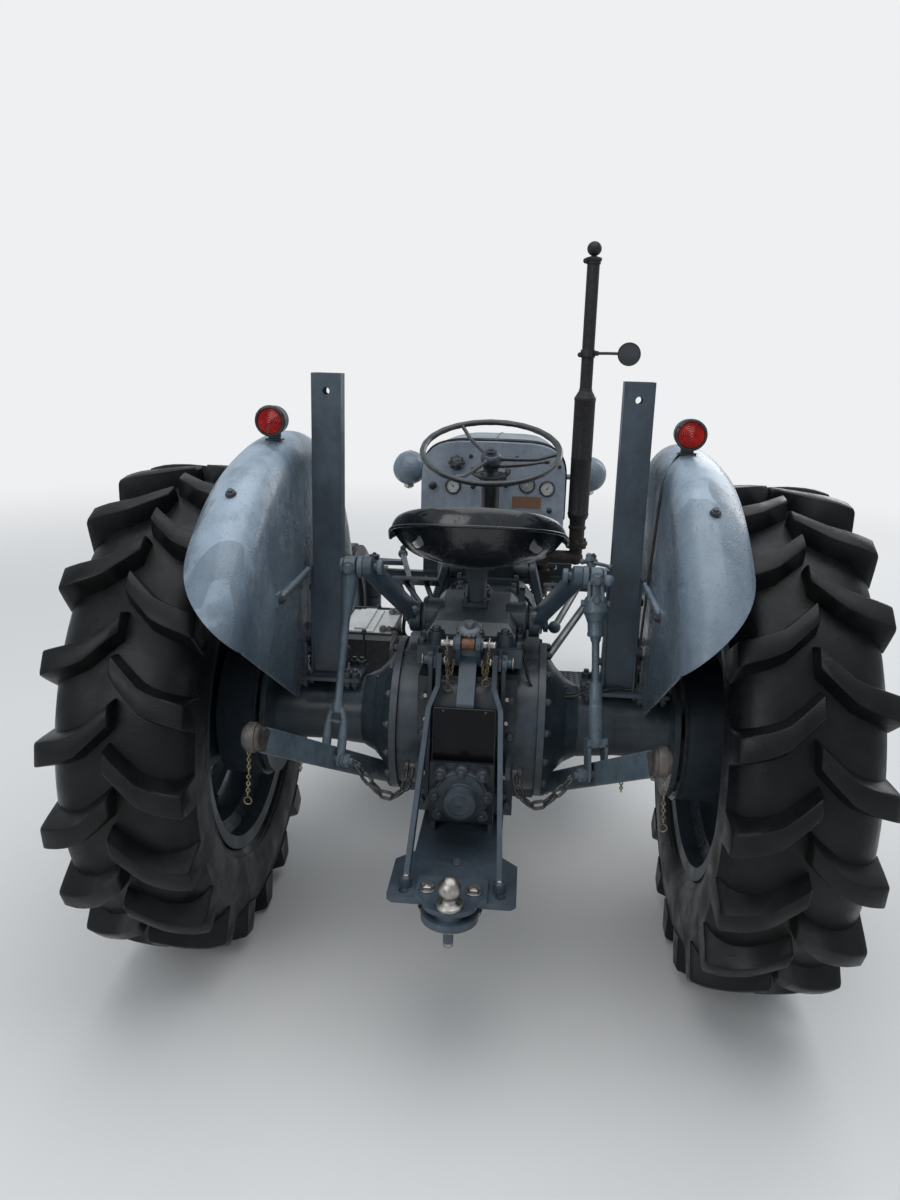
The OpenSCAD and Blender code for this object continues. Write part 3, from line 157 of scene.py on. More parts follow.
def makePaint(name, base, pale, dark, wet, rust=0.5, radius=0.0025, drops=False, grain=0.25, topLightLowDark=None,
              coat=0.15, creases=True):
    f = Finish(name)
    patches = f.ramp(f.noise(5, 5, 0.6), 0.38, 0.66)
    mottle = f.ramp(f.noise(42, 6, 0.65), 0.35, 0.7)
    streaks = f.ramp(f.noise(9, 4, 0.6, stretch=(5, 5, 0.8)), 0.45, 0.75)
    color = f.blend(patches, base, pale)
    color = f.blend(f.times(mottle, 0.35), color, dark)
    color = f.blend(f.times(streaks, 0.3), color, dark)
    if topLightLowDark:                               # painted highlight on faces that look up, darker below this height
        # painted highlight: faces that look up are lightened towards the pale tone
        paintedTopLight = f.times(f.facing(0.15, 0.85), f.ramp(f.noise(11, 6, 0.7), 0.3, 0.6, 0.35, 0.9))
        color = f.blend(paintedTopLight, color, tuple(c * 1.45 for c in pale))
        film = f.ramp(f.noise(3.4, 2, 0.45, distort=1.2), 0.51, 0.525, 0.0, 0.5)      # sheets of water
        color = f.blend(film, color, tuple(c * 0.8 for c in base))
        # darker towards the bottom, below the given height
        color = f.blend(f.ramp(f.height(), topLightLowDark, topLightLowDark + 0.45, 0.75, 0.0), color, dark)
    chips = f.ramp(f.noise(130, 5, 0.7), 0.63, 0.69)
    rusty = f.blend(f.noise(260, 4), (0.10, 0.045, 0.022), (0.20, 0.09, 0.045))
    if creases:                               # painted shade and grime darken the corners, rust on the worn edges
        shadeAndGrime = (dark[0] * 0.35, dark[1] * 0.33, dark[2] * 0.3)
        color = f.blend(f.times(f.hollows(), 0.75), color, shadeAndGrime)
        worn = f.times(f.edges(), f.ramp(f.noise(60, 4, 0.6), 0.44, 0.62))
        color = f.blend(f.times(worn, rust), color, rusty)
    color = f.blend(f.times(f.times(chips, patches), rust * 0.6), color, rusty)
    wetness = f.ramp(f.noise(7, 3, 0.5), 0.35, 0.65)
    rough = f.ramp(wetness, 0, 1, wet[1], wet[0])
    height = f.times(f.noise(320, 4, 0.6), grain)
    normal = f.bump(height, 0.35, 0.0016, f.rounded(radius))
    if drops:
        bead = f.times(f.ramp(f.cells(150), 0.10, 0.42, 1, 0), f.ramp(f.noise(55, 3), 0.44, 0.6))
        small = f.times(f.ramp(f.cells(330), 0.12, 0.4, 1, 0), f.ramp(f.noise(30, 3), 0.42, 0.6))
        beads = f.sum("MAXIMUM", bead, f.times(small, 0.5))
        normal = f.bump(beads, 0.55, 0.0016, normal)
        rough = f.sum("SUBTRACT", rough, f.times(beads, 0.18))
    return f.set(color=color, rough=rough, normal=normal, coat=coat, coatRough=0.1, specular=0.4)


def makeMetal(name, bright, dull, rustShare, rough, metal=0.9, grain=0.4, scale=90):
    f = Finish(name)
    rusty = f.blend(f.noise(240, 5), (0.085, 0.035, 0.018), (0.23, 0.10, 0.045))
    color = f.blend(f.ramp(f.noise(scale, 5), 0.3, 0.7), bright, dull)
    share = f.ramp(f.noise(38, 6, 0.65), 0.62 - rustShare * 0.35, 0.72 - rustShare * 0.35)
    cover = f.times(share, min(1.0, rustShare * 1.4))
    color = f.blend(cover, color, rusty)
    shine = f.ramp(cover, 0, 1, metal, 0.1)
    roughness = f.ramp(f.noise(120, 4), 0.3, 0.7, rough[0], rough[1])
    normal = f.bump(f.noise(420, 5, 0.7), grain, 0.0012, f.rounded(0.0012))
    return f.set(color=color, rough=roughness, metal=shine, normal=normal)


def makeRubber(name, base, dust, rough):
    f = Finish(name)
    wear = f.ramp(f.noise(14, 5, 0.6), 0.4, 0.7)
    color = f.blend(f.times(wear, 0.5), base, dust)
    grit = f.times(f.hollows(), f.ramp(f.noise(40, 4), 0.4, 0.65))
    color = f.blend(f.times(grit, 0.55), color, (0.035, 0.029, 0.022))
    speck = f.ramp(f.noise(230, 3, 0.7), 0.66, 0.72)
    color = f.blend(f.times(speck, 0.25), color, (0.07, 0.06, 0.05))
    wet = f.ramp(f.noise(11, 4, 0.55), 0.35, 0.65, rough[0], rough[1])
    scuffs = f.noise(70, 6, 0.7, stretch=(1, 1, 3))
    normal = f.bump(f.sum("ADD", f.noise(520, 3), f.times(scuffs, 1.5)), 0.28, 0.0013)
    return f.set(color=color, rough=wet, normal=normal, specular=0.22)


def makePlain(name, color, second, rough, coat=0.0, scale=60, grain=0.15, specular=0.5):
    f = Finish(name)
    tone = f.blend(f.ramp(f.noise(scale, 5), 0.35, 0.68), color, second)
    # painted shade and grime: the inner corners are darkened
    tone = f.blend(f.times(f.hollows(), 0.5), tone, (second[0] * 0.3, second[1] * 0.3, second[2] * 0.3))
    roughness = f.ramp(f.noise(scale * 2, 4), 0.3, 0.7, rough[0], rough[1])
    normal = f.bump(f.noise(scale * 8, 3), grain, 0.001)
    return f.set(color=tone, rough=roughness, normal=normal, coat=coat, specular=specular)


bodyPaint = makePaint("bodyPaint", (0.033, 0.052, 0.072), (0.055, 0.082, 0.108), (0.016, 0.024, 0.032),
                      (0.3, 0.52), rust=0.12)
# painted shade: the cast parts' paint is darkened overall to stand in for the shade under the seat
castPaintDarkForShade = makePaint("castPaintDarkForShade", (0.023, 0.034, 0.044), (0.046, 0.065, 0.080), (0.009, 0.013, 0.016),
                      (0.3, 0.55), rust=0.14, grain=0.6)
wingPaint = makePaint("wingPaint", (0.102, 0.138, 0.176), (0.215, 0.270, 0.325), (0.042, 0.058, 0.074),
                      (0.2, 0.36), rust=0.1, drops=True, grain=0.08, topLightLowDark=0.72)
bonnetPaint = makePaint("bonnetPaint", (0.135, 0.175, 0.215), (0.210, 0.262, 0.310),
                        (0.060, 0.082, 0.100), (0.22, 0.4), rust=0.12, drops=True, grain=0.08)
# painted sheen: the dash paint is lightened to stand in for its wet reflection
dashPaintWithSheen = makePaint("dashPaintWithSheen", (0.235, 0.278, 0.330), (0.300, 0.350, 0.405), (0.135, 0.165, 0.200),
                      (0.28, 0.45), rust=0.1, drops=True, grain=0.1)
wheelPaint = makePaint("wheelPaint", (0.022, 0.031, 0.040), (0.038, 0.052, 0.065), (0.010, 0.013, 0.016),
                       (0.3, 0.5), rust=0.12)
rimPaint = makePaint("rimPaint", (0.022, 0.031, 0.040), (0.036, 0.049, 0.062), (0.012, 0.016, 0.020),
                     (0.3, 0.5), rust=0.08, radius=0.0015, creases=False)
tyreRubber = makeRubber("tyreRubber", (0.0045, 0.0047, 0.005), (0.013, 0.013, 0.013), (0.24, 0.48))
softRubber = makeRubber("softRubber", (0.012, 0.012, 0.012), (0.03, 0.03, 0.03), (0.45, 0.7))
blackPaint = makePaint("blackPaint", (0.012, 0.013, 0.015), (0.028, 0.030, 0.034), (0.006, 0.006, 0.006),
                       (0.22, 0.42), rust=0.1, grain=0.1)
chainSteel = makeMetal("chainSteel", (0.11, 0.108, 0.105), (0.045, 0.043, 0.041), 0.12, (0.32, 0.55),
                       metal=0.75)
wornSteel = makeMetal("wornSteel", (0.36, 0.35, 0.33), (0.20, 0.19, 0.18), 0.35, (0.3, 0.5))
brightSteel = makeMetal("brightSteel", (0.72, 0.71, 0.69), (0.55, 0.54, 0.52), 0.08, (0.16, 0.3),
                        metal=1.0, grain=0.1)
mirrorSteel = makeMetal("mirrorSteel", (0.88, 0.88, 0.87), (0.80, 0.80, 0.79), 0.0, (0.08, 0.16),
                        metal=1.0, grain=0.02)
ballSteel = makeMetal("ballSteel", (0.46, 0.44, 0.41), (0.30, 0.28, 0.26), 0.1, (0.28, 0.42), metal=1.0,
                      grain=0.25)
bronze = makeMetal("bronze", (0.15, 0.075, 0.042), (0.085, 0.045, 0.03), 0.3, (0.4, 0.6), metal=0.5)
stackBlack = makeMetal("stackBlack", (0.030, 0.027, 0.026), (0.014, 0.013, 0.013), 0.3, (0.45, 0.7),
                       metal=0.3)
castIron = makeMetal("castIron", (0.042, 0.034, 0.030), (0.024, 0.020, 0.018), 0.15, (0.6, 0.85), metal=0.3)
boxPlastic = makePlain("boxPlastic", (0.012, 0.012, 0.013), (0.03, 0.03, 0.032), (0.25, 0.5))
palePlastic = makePlain("palePlastic", (0.60, 0.61, 0.60), (0.50, 0.51, 0.50), (0.25, 0.45), scale=14,
                        grain=0.03)
whiteFace = makePlain("whiteFace", (0.62, 0.61, 0.57), (0.48, 0.47, 0.44), (0.3, 0.5), coat=0.4)
darkFace = makePlain("darkFace", (0.10, 0.095, 0.088), (0.17, 0.16, 0.15), (0.2, 0.35), coat=0.4)
plateBlack = makePlain("plateBlack", (0.004, 0.004, 0.005), (0.006, 0.006, 0.007), (0.14, 0.24), scale=12,
                       grain=0.02, specular=0.15)
redLens = makePlain("redLens", (0.26, 0.010, 0.010), (0.44, 0.022, 0.016), (0.06, 0.14), coat=0.8, grain=0.05)
leadCovering = makePlain("leadCovering", (0.015, 0.015, 0.015), (0.035, 0.033, 0.03), (0.45, 0.65))
brownPlate = makePlain("brownPlate", (0.23, 0.115, 0.062), (0.16, 0.085, 0.05), (0.4, 0.65), scale=120)


def makeGlass(name, tint, rough, flutes=None):
    f = Finish(name)
    ripple = f.bump(f.noise(60, 2, stretch=flutes), 0.6 if flutes else 0.05, 0.001)
    smear = f.ramp(f.noise(25, 4), 0.4, 0.7, rough, rough + 0.12)
    return f.set(color=tint, rough=smear, normal=ripple, glass=0.85, ior=1.45)


def makeMirror(name):
    f = Finish(name)
    smear = f.ramp(f.noise(18, 5), 0.4, 0.75, 0.03, 0.2)
    return f.set(color=f.blend(f.noise(12), (0.030, 0.033, 0.037), (0.016, 0.018, 0.020)), rough=smear,
                 coat=0.6)


lampGlass = makeGlass("lampGlass", (0.92, 0.94, 0.95), 0.04)
flutedGlass = makeGlass("flutedGlass", (0.92, 0.94, 0.95), 0.03, flutes=(3, 0.05, 0.15))
mirrorGlass = makeMirror("mirrorGlass")
print("finishes ready")


# Shapes

def vec(*place):          # from three numbers or from one point
    return Vector(place if len(place) > 1 else place[0])


def turnTo(direction):    # matrix whose Z lies along the direction
    return vec(direction).to_track_quat("Z", "Y").to_matrix().to_4x4()


toRight, toFront, toTop = vec(1, 0, 0), vec(0, 1, 0), vec(0, 0, 1)


class Shape:              # gathers forms in millimetres and turns them into one piece
    def __init__(self):
        self.bm = bmesh.new()

    def rings(self, rings, closed=True, loop=False):          # capped at both ends unless it loops
        rows = [[self.bm.verts.new(p) for p in ring] for ring in rings]
        count = len(rows[0])
        pairs = list(zip(rows, rows[1:])) + ([(rows[-1], rows[0])] if loop else [])
        for a, b in pairs:
            for i in range(count if closed else count - 1):
                j = (i + 1) % count
                self.face(a[i], a[j], b[j], b[i])
        if not loop:
            self.face(*reversed(rows[0]))
            self.face(*rows[-1])
        return self

    def face(self, *verts):
        single = list(dict.fromkeys(verts))
        if len(single) > 2:
            try:
                self.bm.faces.new(single)
            except ValueError:
                pass

    def revolve(self, base, axis, profile, sides=48, closed=False):      # profile: distance, radius
        m = Matrix.Translation(vec(base)) @ turnTo(axis)
        rings = []
        for k in range(sides):
            a = tau * k / sides
            rings.append([m @ vec(r * cos(a), r * sin(a), h) for h, r in profile])
        return self.rings(rings, closed=closed, loop=True)

    def rod(self, start, end, r, rEnd=None, sides=24, chamfer=0.0):
        length = (vec(end) - vec(start)).length
        rEnd = r if rEnd is None else rEnd
        c = min(chamfer, length / 2.2, r * 0.8)
        profile = [(0, 0), (0, r - c), (c, r), (length - c, rEnd), (length, rEnd - c), (length, 0)]
        if c <= 0:
            profile = [(0, 0), (0, r), (length, rEnd), (length, 0)]
        return self.revolve(start, vec(end) - vec(start), profile, sides)

    def ball(self, mid, r, squash=(1, 1, 1), sides=24):
        m = Matrix.Translation(vec(mid)) @ Matrix.Diagonal((*squash, 1))
        bmesh.ops.create_uvsphere(self.bm, u_segments=sides, v_segments=sides // 2, radius=r, matrix=m)
        return self

    def box(self, low, high, basis=Matrix.Identity(4)):
        low, high = vec(low), vec(high)
        m = basis @ Matrix.Translation((low + high) / 2) @ Matrix.Diagonal((*(high - low), 1))
        bmesh.ops.create_cube(self.bm, size=1, matrix=m)
        return self

    def slab(self, outline, thickness, basis):        # flat shape with rounded outline, laid by a matrix
        low = [basis @ vec(x, y, 0) for x, y in outline]
        high = [basis @ vec(x, y, thickness) for x, y in outline]
        return self.rings([low, high])

    def tube(self, points, r, sides=12, closed=False, flat=1.0):
        pts = [vec(p) for p in points]
        count = len(pts)
        radii = r if isinstance(r, (list, tuple)) else [r] * count
        rings = []
        side = None
        for i, p in enumerate(pts):
            after = pts[(i + 1) % count] if closed or i < count - 1 else p
            before = pts[i - 1] if closed or i > 0 else p
            ahead = (after - before).normalized()
            if side is None:
                side = ahead.cross(toTop)
                if side.length < 1e-3:
                    side = ahead.cross(toRight)
            side = (side - ahead * side.dot(ahead)).normalized()
            up = side.cross(ahead)
            rings.append([p + (side * cos(tau * k / sides) + up * flat * sin(tau * k / sides))
                          * radii[i] for k in range(sides)])
        return self.rings(rings, loop=closed)

    def bent(self, points, steps, r, sides=8):                # tube along a smooth curve through the points
        return self.tube(smoothPath(points, steps), r, sides=sides)

    def collar(self, base, axis, inner, outer, length, chamfer=0, sides=40):
        profile = [(0, outer), (length, outer)]
        if chamfer:
            profile = [(0, outer - chamfer), (chamfer, outer), (length - chamfer, outer),
                       (length, outer - chamfer)]
        return self.revolve(base, axis, [(0, inner), *profile, (length, inner)], sides=sides, closed=True)

    def bolt(self, base, axis, across=19, head=8, washer=True, shank=0.0):
        axis = vec(axis).normalized()
        base = vec(base)
        lift = 0
        if washer:
            self.rod(base, base + axis * 2.2, across * 0.66, sides=20)
            lift = 2.2
        r = across / 2 / cos(pi / 6)
        m = Matrix.Translation(base) @ turnTo(axis)
        self.rings([[m @ vec(q * cos(tau * k / 6), q * sin(tau * k / 6), h) for k in range(6)]
                    for h, q in ((lift, r), (lift + head * 0.8, r), (lift + head, r * 0.84))])
        if shank:
            self.rod(base + axis * (lift + head - 0.5), base + axis * (lift + head + shank), across * 0.3,
                     sides=14)
        return self

    def bolts(self, places, axis, **size):
        for p in places:
            self.bolt(p, axis, **size)
        return self

    def mirrored(self):                       # adds the mirror image on the other side
        copy = self.bm.copy()
        bmesh.ops.scale(copy, vec=(-1, 1, 1), verts=copy.verts)
        bmesh.ops.reverse_faces(copy, faces=copy.faces)
        mesh = bpy.data.meshes.new("half")
        copy.to_mesh(mesh)
        self.bm.from_mesh(mesh)
        bpy.data.meshes.remove(mesh)
        return self

    def piece(self, name, material, body="chassis", bevel=0.0, smooth=35, slot=None, weld=True):
        bm = self.bm
        if weld:
            bmesh.ops.remove_doubles(bm, verts=bm.verts, dist=0.002)
        loose = [v for v in bm.verts if not v.link_faces]
        bmesh.ops.delete(bm, geom=loose, context="VERTS")
        bmesh.ops.recalc_face_normals(bm, faces=bm.faces)
        mesh = bpy.data.meshes.new(name)
        bm.to_mesh(mesh)
        bm.free()
        mesh.transform(Matrix.Translation((0, axleShift, 0)) @ Matrix.Scale(mm, 4))
        mesh.polygons.foreach_set("use_smooth", [True] * len(mesh.polygons))
        mesh.set_sharp_from_angle(angle=radians(smooth))
        mesh.materials.append(material)
        obj = bpy.data.objects.new(name, mesh)
        bpy.context.scene.collection.objects.link(obj)
        if bevel:
            mod = obj.modifiers.new("edges", "BEVEL")
            mod.width = bevel * mm
            mod.segments = 2
            mod.limit_method = "ANGLE"
            mod.angle_limit = radians(32)
            mod.harden_normals = True
        if body:
            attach(obj, body)
        return obj


def smoothPath(points, steps=6):              # a curve through the points
    pts = [vec(p) for p in points]
    out = []
    for i in range(len(pts) - 1):
        before = pts[max(i - 1, 0)]
        after = pts[min(i + 2, len(pts) - 1)]
        a, b = pts[i], pts[i + 1]
        for k in range(steps):
            t = k / steps
            out.append(0.5 * ((2 * a) + (b - before) * t + (2 * before - 5 * a + 4 * b - after) * t * t
                              + (3 * a - before - 3 * b + after) * t ** 3))
    return out + [pts[-1]]


def circle(mid, axis, r, count):              # ring of points square to an axis
    m = Matrix.Translation(vec(mid)) @ turnTo(axis)
    return [m @ vec(r * cos(tau * k / count), r * sin(tau * k / count), 0) for k in range(count)]


def crown():                                  # the bonnet's round top, in shares of half width and height
    turns = [pi * i / 48 for i in range(49)]
    return [(copysign(abs(cos(a)) ** 0.42, cos(a)), sin(a) ** 0.62) for a in turns]


def onBothSides(build):                       # runs a builder for the left and for the right
    return [build(side, name) for side, name in ((-1, "left"), (1, "right"))]


def spots(mid, r, count, shift=0.0):          # places on a circle square to the X axis, for bolts
    turns = [tau * (k + shift) / count for k in range(count)]
    return [vec(mid) + vec(0, cos(a), sin(a)) * r for a in turns]


def hoop(mid, r, count):                      # ring of points square to the X axis
    return [mid + vec(0, r * sin(tau * k / count), r * cos(tau * k / count)) for k in range(count)]


def roundedOutline(halfW, halfH, corner, steps=6):
    out = []
    for cx, cy, start in ((1, 1, 0), (-1, 1, 90), (-1, -1, 180), (1, -1, 270)):
        for k in range(steps + 1):
            a = radians(start + 90 * k / steps)
            out.append((cx * (halfW - corner) + corner * cos(a), cy * (halfH - corner) + corner * sin(a)))
    return out


def flip(s, side):                            # forms are made on the right and mirrored for the left
    if side < 0:
        bmesh.ops.scale(s.bm, vec=(-1, 1, 1), verts=s.bm.verts)
        bmesh.ops.reverse_faces(s.bm, faces=s.bm.faces)
    return s


def chainLinks(s, path, length, halfWide, wire):        # oval links in turn along a path
    pts = smoothPath(path, 40)
    lengths = [0]
    for a, b in zip(pts, pts[1:]):
        lengths.append(lengths[-1] + (b - a).length)
    pitch = length - 2 * wire
    count = max(1, round(lengths[-1] / pitch))
    for k in range(count):
        middle = lengths[-1] * (k + 0.5) / count
        i = max(j for j in range(len(lengths)) if lengths[j] <= middle)
        i = min(i, len(pts) - 2)
        here = pts[i].lerp(pts[i + 1], (middle - lengths[i]) / max(1e-6, lengths[i + 1] - lengths[i]))
        way = (pts[i + 1] - pts[i]).normalized()
        side = way.cross(toTop)
        side = side.normalized() if side.length > 0.05 else way.cross(toFront).normalized()
        if k % 2:
            side = way.cross(side).normalized()
        straight = max(0.2, length / 2 - halfWide)
        loop = []
        for n in range(20):
            a = tau * n / 20
            lift = straight if cos(a) > 0 else -straight
            loop.append(here + way * (lift + (halfWide - wire) * cos(a)) + side * (halfWide - wire) * sin(a))
        s.tube(loop, wire, sides=8, closed=True)


def cut(obj, cutter):                         # takes one mesh out of another and keeps plain geometry
    mod = obj.modifiers.new("cut", "BOOLEAN")
    mod.object = cutter
    mod.operation = "DIFFERENCE"
    mod.solver = "EXACT"
    bpy.context.view_layer.update()
    graph = bpy.context.evaluated_depsgraph_get()
    mesh = bpy.data.meshes.new_from_object(obj.evaluated_get(graph))
    obj.modifiers.clear()
    obj.data = mesh
    bpy.data.objects.remove(cutter)
    return obj


# View, light and floor

view = {"place": (0.1233, -3.0474, 1.5506), "right": (0.99578, 0.08792, 0.02643),
        "up": (-0.04809, 0.25432, 0.96592), "ahead": (-0.07820, 0.96311, -0.25748), "lens": 27.88}
cam = bpy.data.objects.new("camera", bpy.data.cameras.new("camera"))
bpy.context.scene.collection.objects.link(cam)
axes = Matrix([view["right"], view["up"], [-c for c in view["ahead"]]]).transposed()
cam.matrix_world = Matrix.Translation(vec(view["place"])) @ axes.to_4x4()
cam.data.lens = view["lens"]
cam.data.sensor_width = 36
bpy.context.scene.camera = cam

world = bpy.data.worlds.new("sky")
bpy.context.scene.world = world
world.use_nodes = True
tree = world.node_tree
light = {"sky": (0.80, 0.87, 0.95), "power": 0.62, "shown": (0.86, 0.87, 0.88), "floor": (0.74, 0.735, 0.72),
         "near": 2.0, "far": 9.0, "floorHalf": 60}
skyShade = tree.nodes["Background"]
shownShade = tree.nodes.new("ShaderNodeBackground")
switch = tree.nodes.new("ShaderNodeMixShader")
rays = tree.nodes.new("ShaderNodeLightPath")
skyShade.inputs["Color"].default_value = (*light["sky"], 1)
skyShade.inputs["Strength"].default_value = light["power"]
shownShade.inputs["Color"].default_value = (*light["shown"], 1)
shownShade.inputs["Strength"].default_value = 1.0
tree.links.new(rays.outputs["Is Camera Ray"], switch.inputs["Fac"])
tree.links.new(skyShade.outputs[0], switch.inputs[1])
tree.links.new(shownShade.outputs[0], switch.inputs[2])
tree.links.new(switch.outputs[0], tree.nodes["World Output"].inputs["Surface"])

for name, place, size, power, aim in (("overhead", (0.2, -0.6, 5.2), 5.5, 150, (0, 0, 0.6)),
                                      ("behind", (-2.6, -5.4, 3.4), 3.2, 70, (0, -0.6, 0.8)),
                                      ("ahead", (3.4, 5.0, 3.6), 3.6, 80, (0, 0.6, 0.8))):
    lamp = bpy.data.objects.new(name, bpy.data.lights.new(name, "AREA"))
    lamp.data.size = size
    lamp.data.energy = power
    lamp.location = place
    lamp.rotation_euler = (vec(aim) - vec(place)).to_track_quat("-Z", "Y").to_euler()
    bpy.context.scene.collection.objects.link(lamp)

floorMesh = bpy.data.meshes.new("floor")
edge = light["floorHalf"]
floorMesh.from_pydata([(-edge, -edge, 0), (edge, -edge, 0), (edge, edge, 0), (-edge, edge, 0)], [],
                      [(0, 1, 2, 3)])
floor = bpy.data.objects.new("floor", floorMesh)
bpy.context.scene.collection.objects.link(floor)
ground = Finish("ground")
ground.set(color=ground.blend(ground.noise(0.7, 6), light["floor"],
                              tuple(c * 0.96 for c in light["floor"])), rough=0.7)
reach = ground.add("ShaderNodeVectorMath", operation="LENGTH")        # far out, the floor turns into backdrop
ground.link(ground.coords, reach.inputs[0])
seen = ground.add("ShaderNodeLightPath").outputs["Is Camera Ray"]
far = ground.times(ground.ramp(reach.outputs["Value"], light["near"], light["far"]), seen)
backdrop = ground.add("ShaderNodeEmission")
backdrop.inputs["Color"].default_value = (*light["shown"], 1)
mixed = ground.add("ShaderNodeMixShader")
ground.link(far, mixed.inputs["Fac"])
ground.link(ground.shader.outputs[0], mixed.inputs[1])
ground.link(backdrop.outputs[0], mixed.inputs[2])
ground.link(mixed.outputs[0], ground.tree.nodes["Material Output"].inputs["Surface"])
floorMesh.materials.append(ground.mat)
bpy.context.scene.view_settings.view_transform = "Standard"
print("view and light ready")

# Rear tyres

rearTyre = {"radius": 628, "width": 315, "lugHeight": 42, "pairs": 20, "track": 1422, "barRadius": 551}


def ease(points, t):                          # straight lines between (place, value) pairs
    for (x0, v0), (x1, v1) in zip(points, points[1:]):
        if t <= x1:
            k = (t - x0) / (x1 - x0)
            return v0 + (v1 - v0) * k
    return points[-1][1]


def lugRing(turn, side, x, back, top, foot, width):
    half = width / 2
    mid = top - (top - foot) * 0.4
    outline = [(foot, -half - 17), (mid, -half - 7), (top - 7, -half - 1), (top - 2, -half + 1.2),
               (top, -half + 6), (top, half - 6), (top - 2, half - 1.2), (top - 7, half + 1),
               (mid, half + 7), (foot, half + 17)]
    ring = []
    for r, shift in outline:
        a = turn + (back + shift) / rearTyre["radius"]
        ring.append((side * x, r * cos(a), r * sin(a)))
    return ring


def buildRearTyre(side, name):
    s = Shape()
    half = rearTyre["width"] / 2
    crest = rearTyre["radius"]
    tread = crest - rearTyre["lugHeight"]
    profile = [(357, 106), (357, 118), (366, 121), (383, 122), (386, 126), (396, 133), (399, 137),
               (406, 137.5), (409, 141), (430, 148.5), (450, 153), (475, 154.8), (500, 155), (518, 153.4),
               (521, 155), (526, 154), (530, 151), (545, 145), (560, 133), (572, 117), (580, 97),
               (584.5, 70), (586, 40), (586.5, 15)]
    outline = [(-x, r) for r, x in profile] + [(x, r) for r, x in reversed(profile)]
    s.revolve((0, 0, 0), toRight, outline, sides=120, closed=True)
    reach = [(-5, 0), (30, 36), (62, 66), (90, 80), (half - 32, 90), (half - 8, 96), (half, 98)]
    tops = [(-5, crest), (68, crest), (105, crest - 2.5), (half - 32, crest - 6), (half - 6, crest - 14),
            (half, crest - 18)]
    feet = [(-5, tread - 10), (68, tread - 12), (105, tread - 22), (half - 32, tread - 34),
            (half - 8, tread - 52), (half, tread - 62)]
    widths = [(-5, 46), (62, 50), (half - 32, 53), (half, 55)]
    stations = [-5, -2, 18, 40, 62, 80, 100, 122, 142, half - 4, half - 0.5]
    for lugSide in (-1, 1):
        for k in range(rearTyre["pairs"]):
            turn = (k + (0.5 if lugSide < 0 else 0)) * tau / rearTyre["pairs"]
            rings = []
            for i, x in enumerate(stations):
                pinch = 4 if i in (0, len(stations) - 1) else 0
                rings.append(lugRing(turn, lugSide, x, ease(reach, x), ease(tops, x) - pinch,
                                     ease(feet, x), ease(widths, x) - pinch))
            s.rings(rings if lugSide < 0 else rings[::-1])
            a = turn + 20 / crest + pi / rearTyre["pairs"]        # small bar between two lugs
            place = vec(lugSide * (half - 13), rearTyre["barRadius"] * cos(a), rearTyre["barRadius"] * sin(a))
            out = vec(lugSide * 0.75, 0.66 * cos(a), 0.66 * sin(a)).normalized()
            s.rod(place - out * 10, place + out * 5, 7, 5, sides=10, chamfer=1.5)
    for v in s.bm.verts:
        v.co = vec(side * v.co.x, v.co.y, v.co.z) + vec(side * rearTyre["track"] / 2, 0, crest)
    obj = s.piece("rearTyre_" + name, tyreRubber, "rear_wheel_" + name, smooth=42, slot="tyre", weld=False)
    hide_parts("rear_tyre_" + name)


onBothSides(buildRearTyre)
print("rear tyres done")

# Front tyres

frontTyre = {"radius": 350, "track": 1320, "wheelbase": 1778}


def buildFrontTyre(side, name):
    profile = [(241.5, 30), (241.5, 38), (250, 41), (258, 42), (262, 46), (280, 52), (296, 56), (300, 57),
               (304, 56), (318, 52), (326, 47), (337, 41), (341, 38), (343, 36), (343, 27), (338, 25),
               (336, 20), (338, 14), (346, 12.5), (350, 10)]
    outline = [(-x, r) for r, x in profile] + [(x, r) for r, x in reversed(profile)]
    s = Shape().revolve((side * frontTyre["track"] / 2, frontTyre["wheelbase"], frontTyre["radius"]),
                        toRight, outline, sides=96, closed=True)
    obj = s.piece("frontTyre_" + name, tyreRubber, "front_wheel_" + name, smooth=34, slot="tyre", weld=False)
    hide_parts("front_tyre_" + name)


onBothSides(buildFrontTyre)
print("front tyres done")

# Nuts, valves and caps on the wheels

wheelParts = {"hubNuts": 8, "hubRing": 68, "clampNuts": 6, "clampRing": 303, "drumBolts": 10, "drumRing": 158,
              "frontNuts": 6, "frontRing": 60}


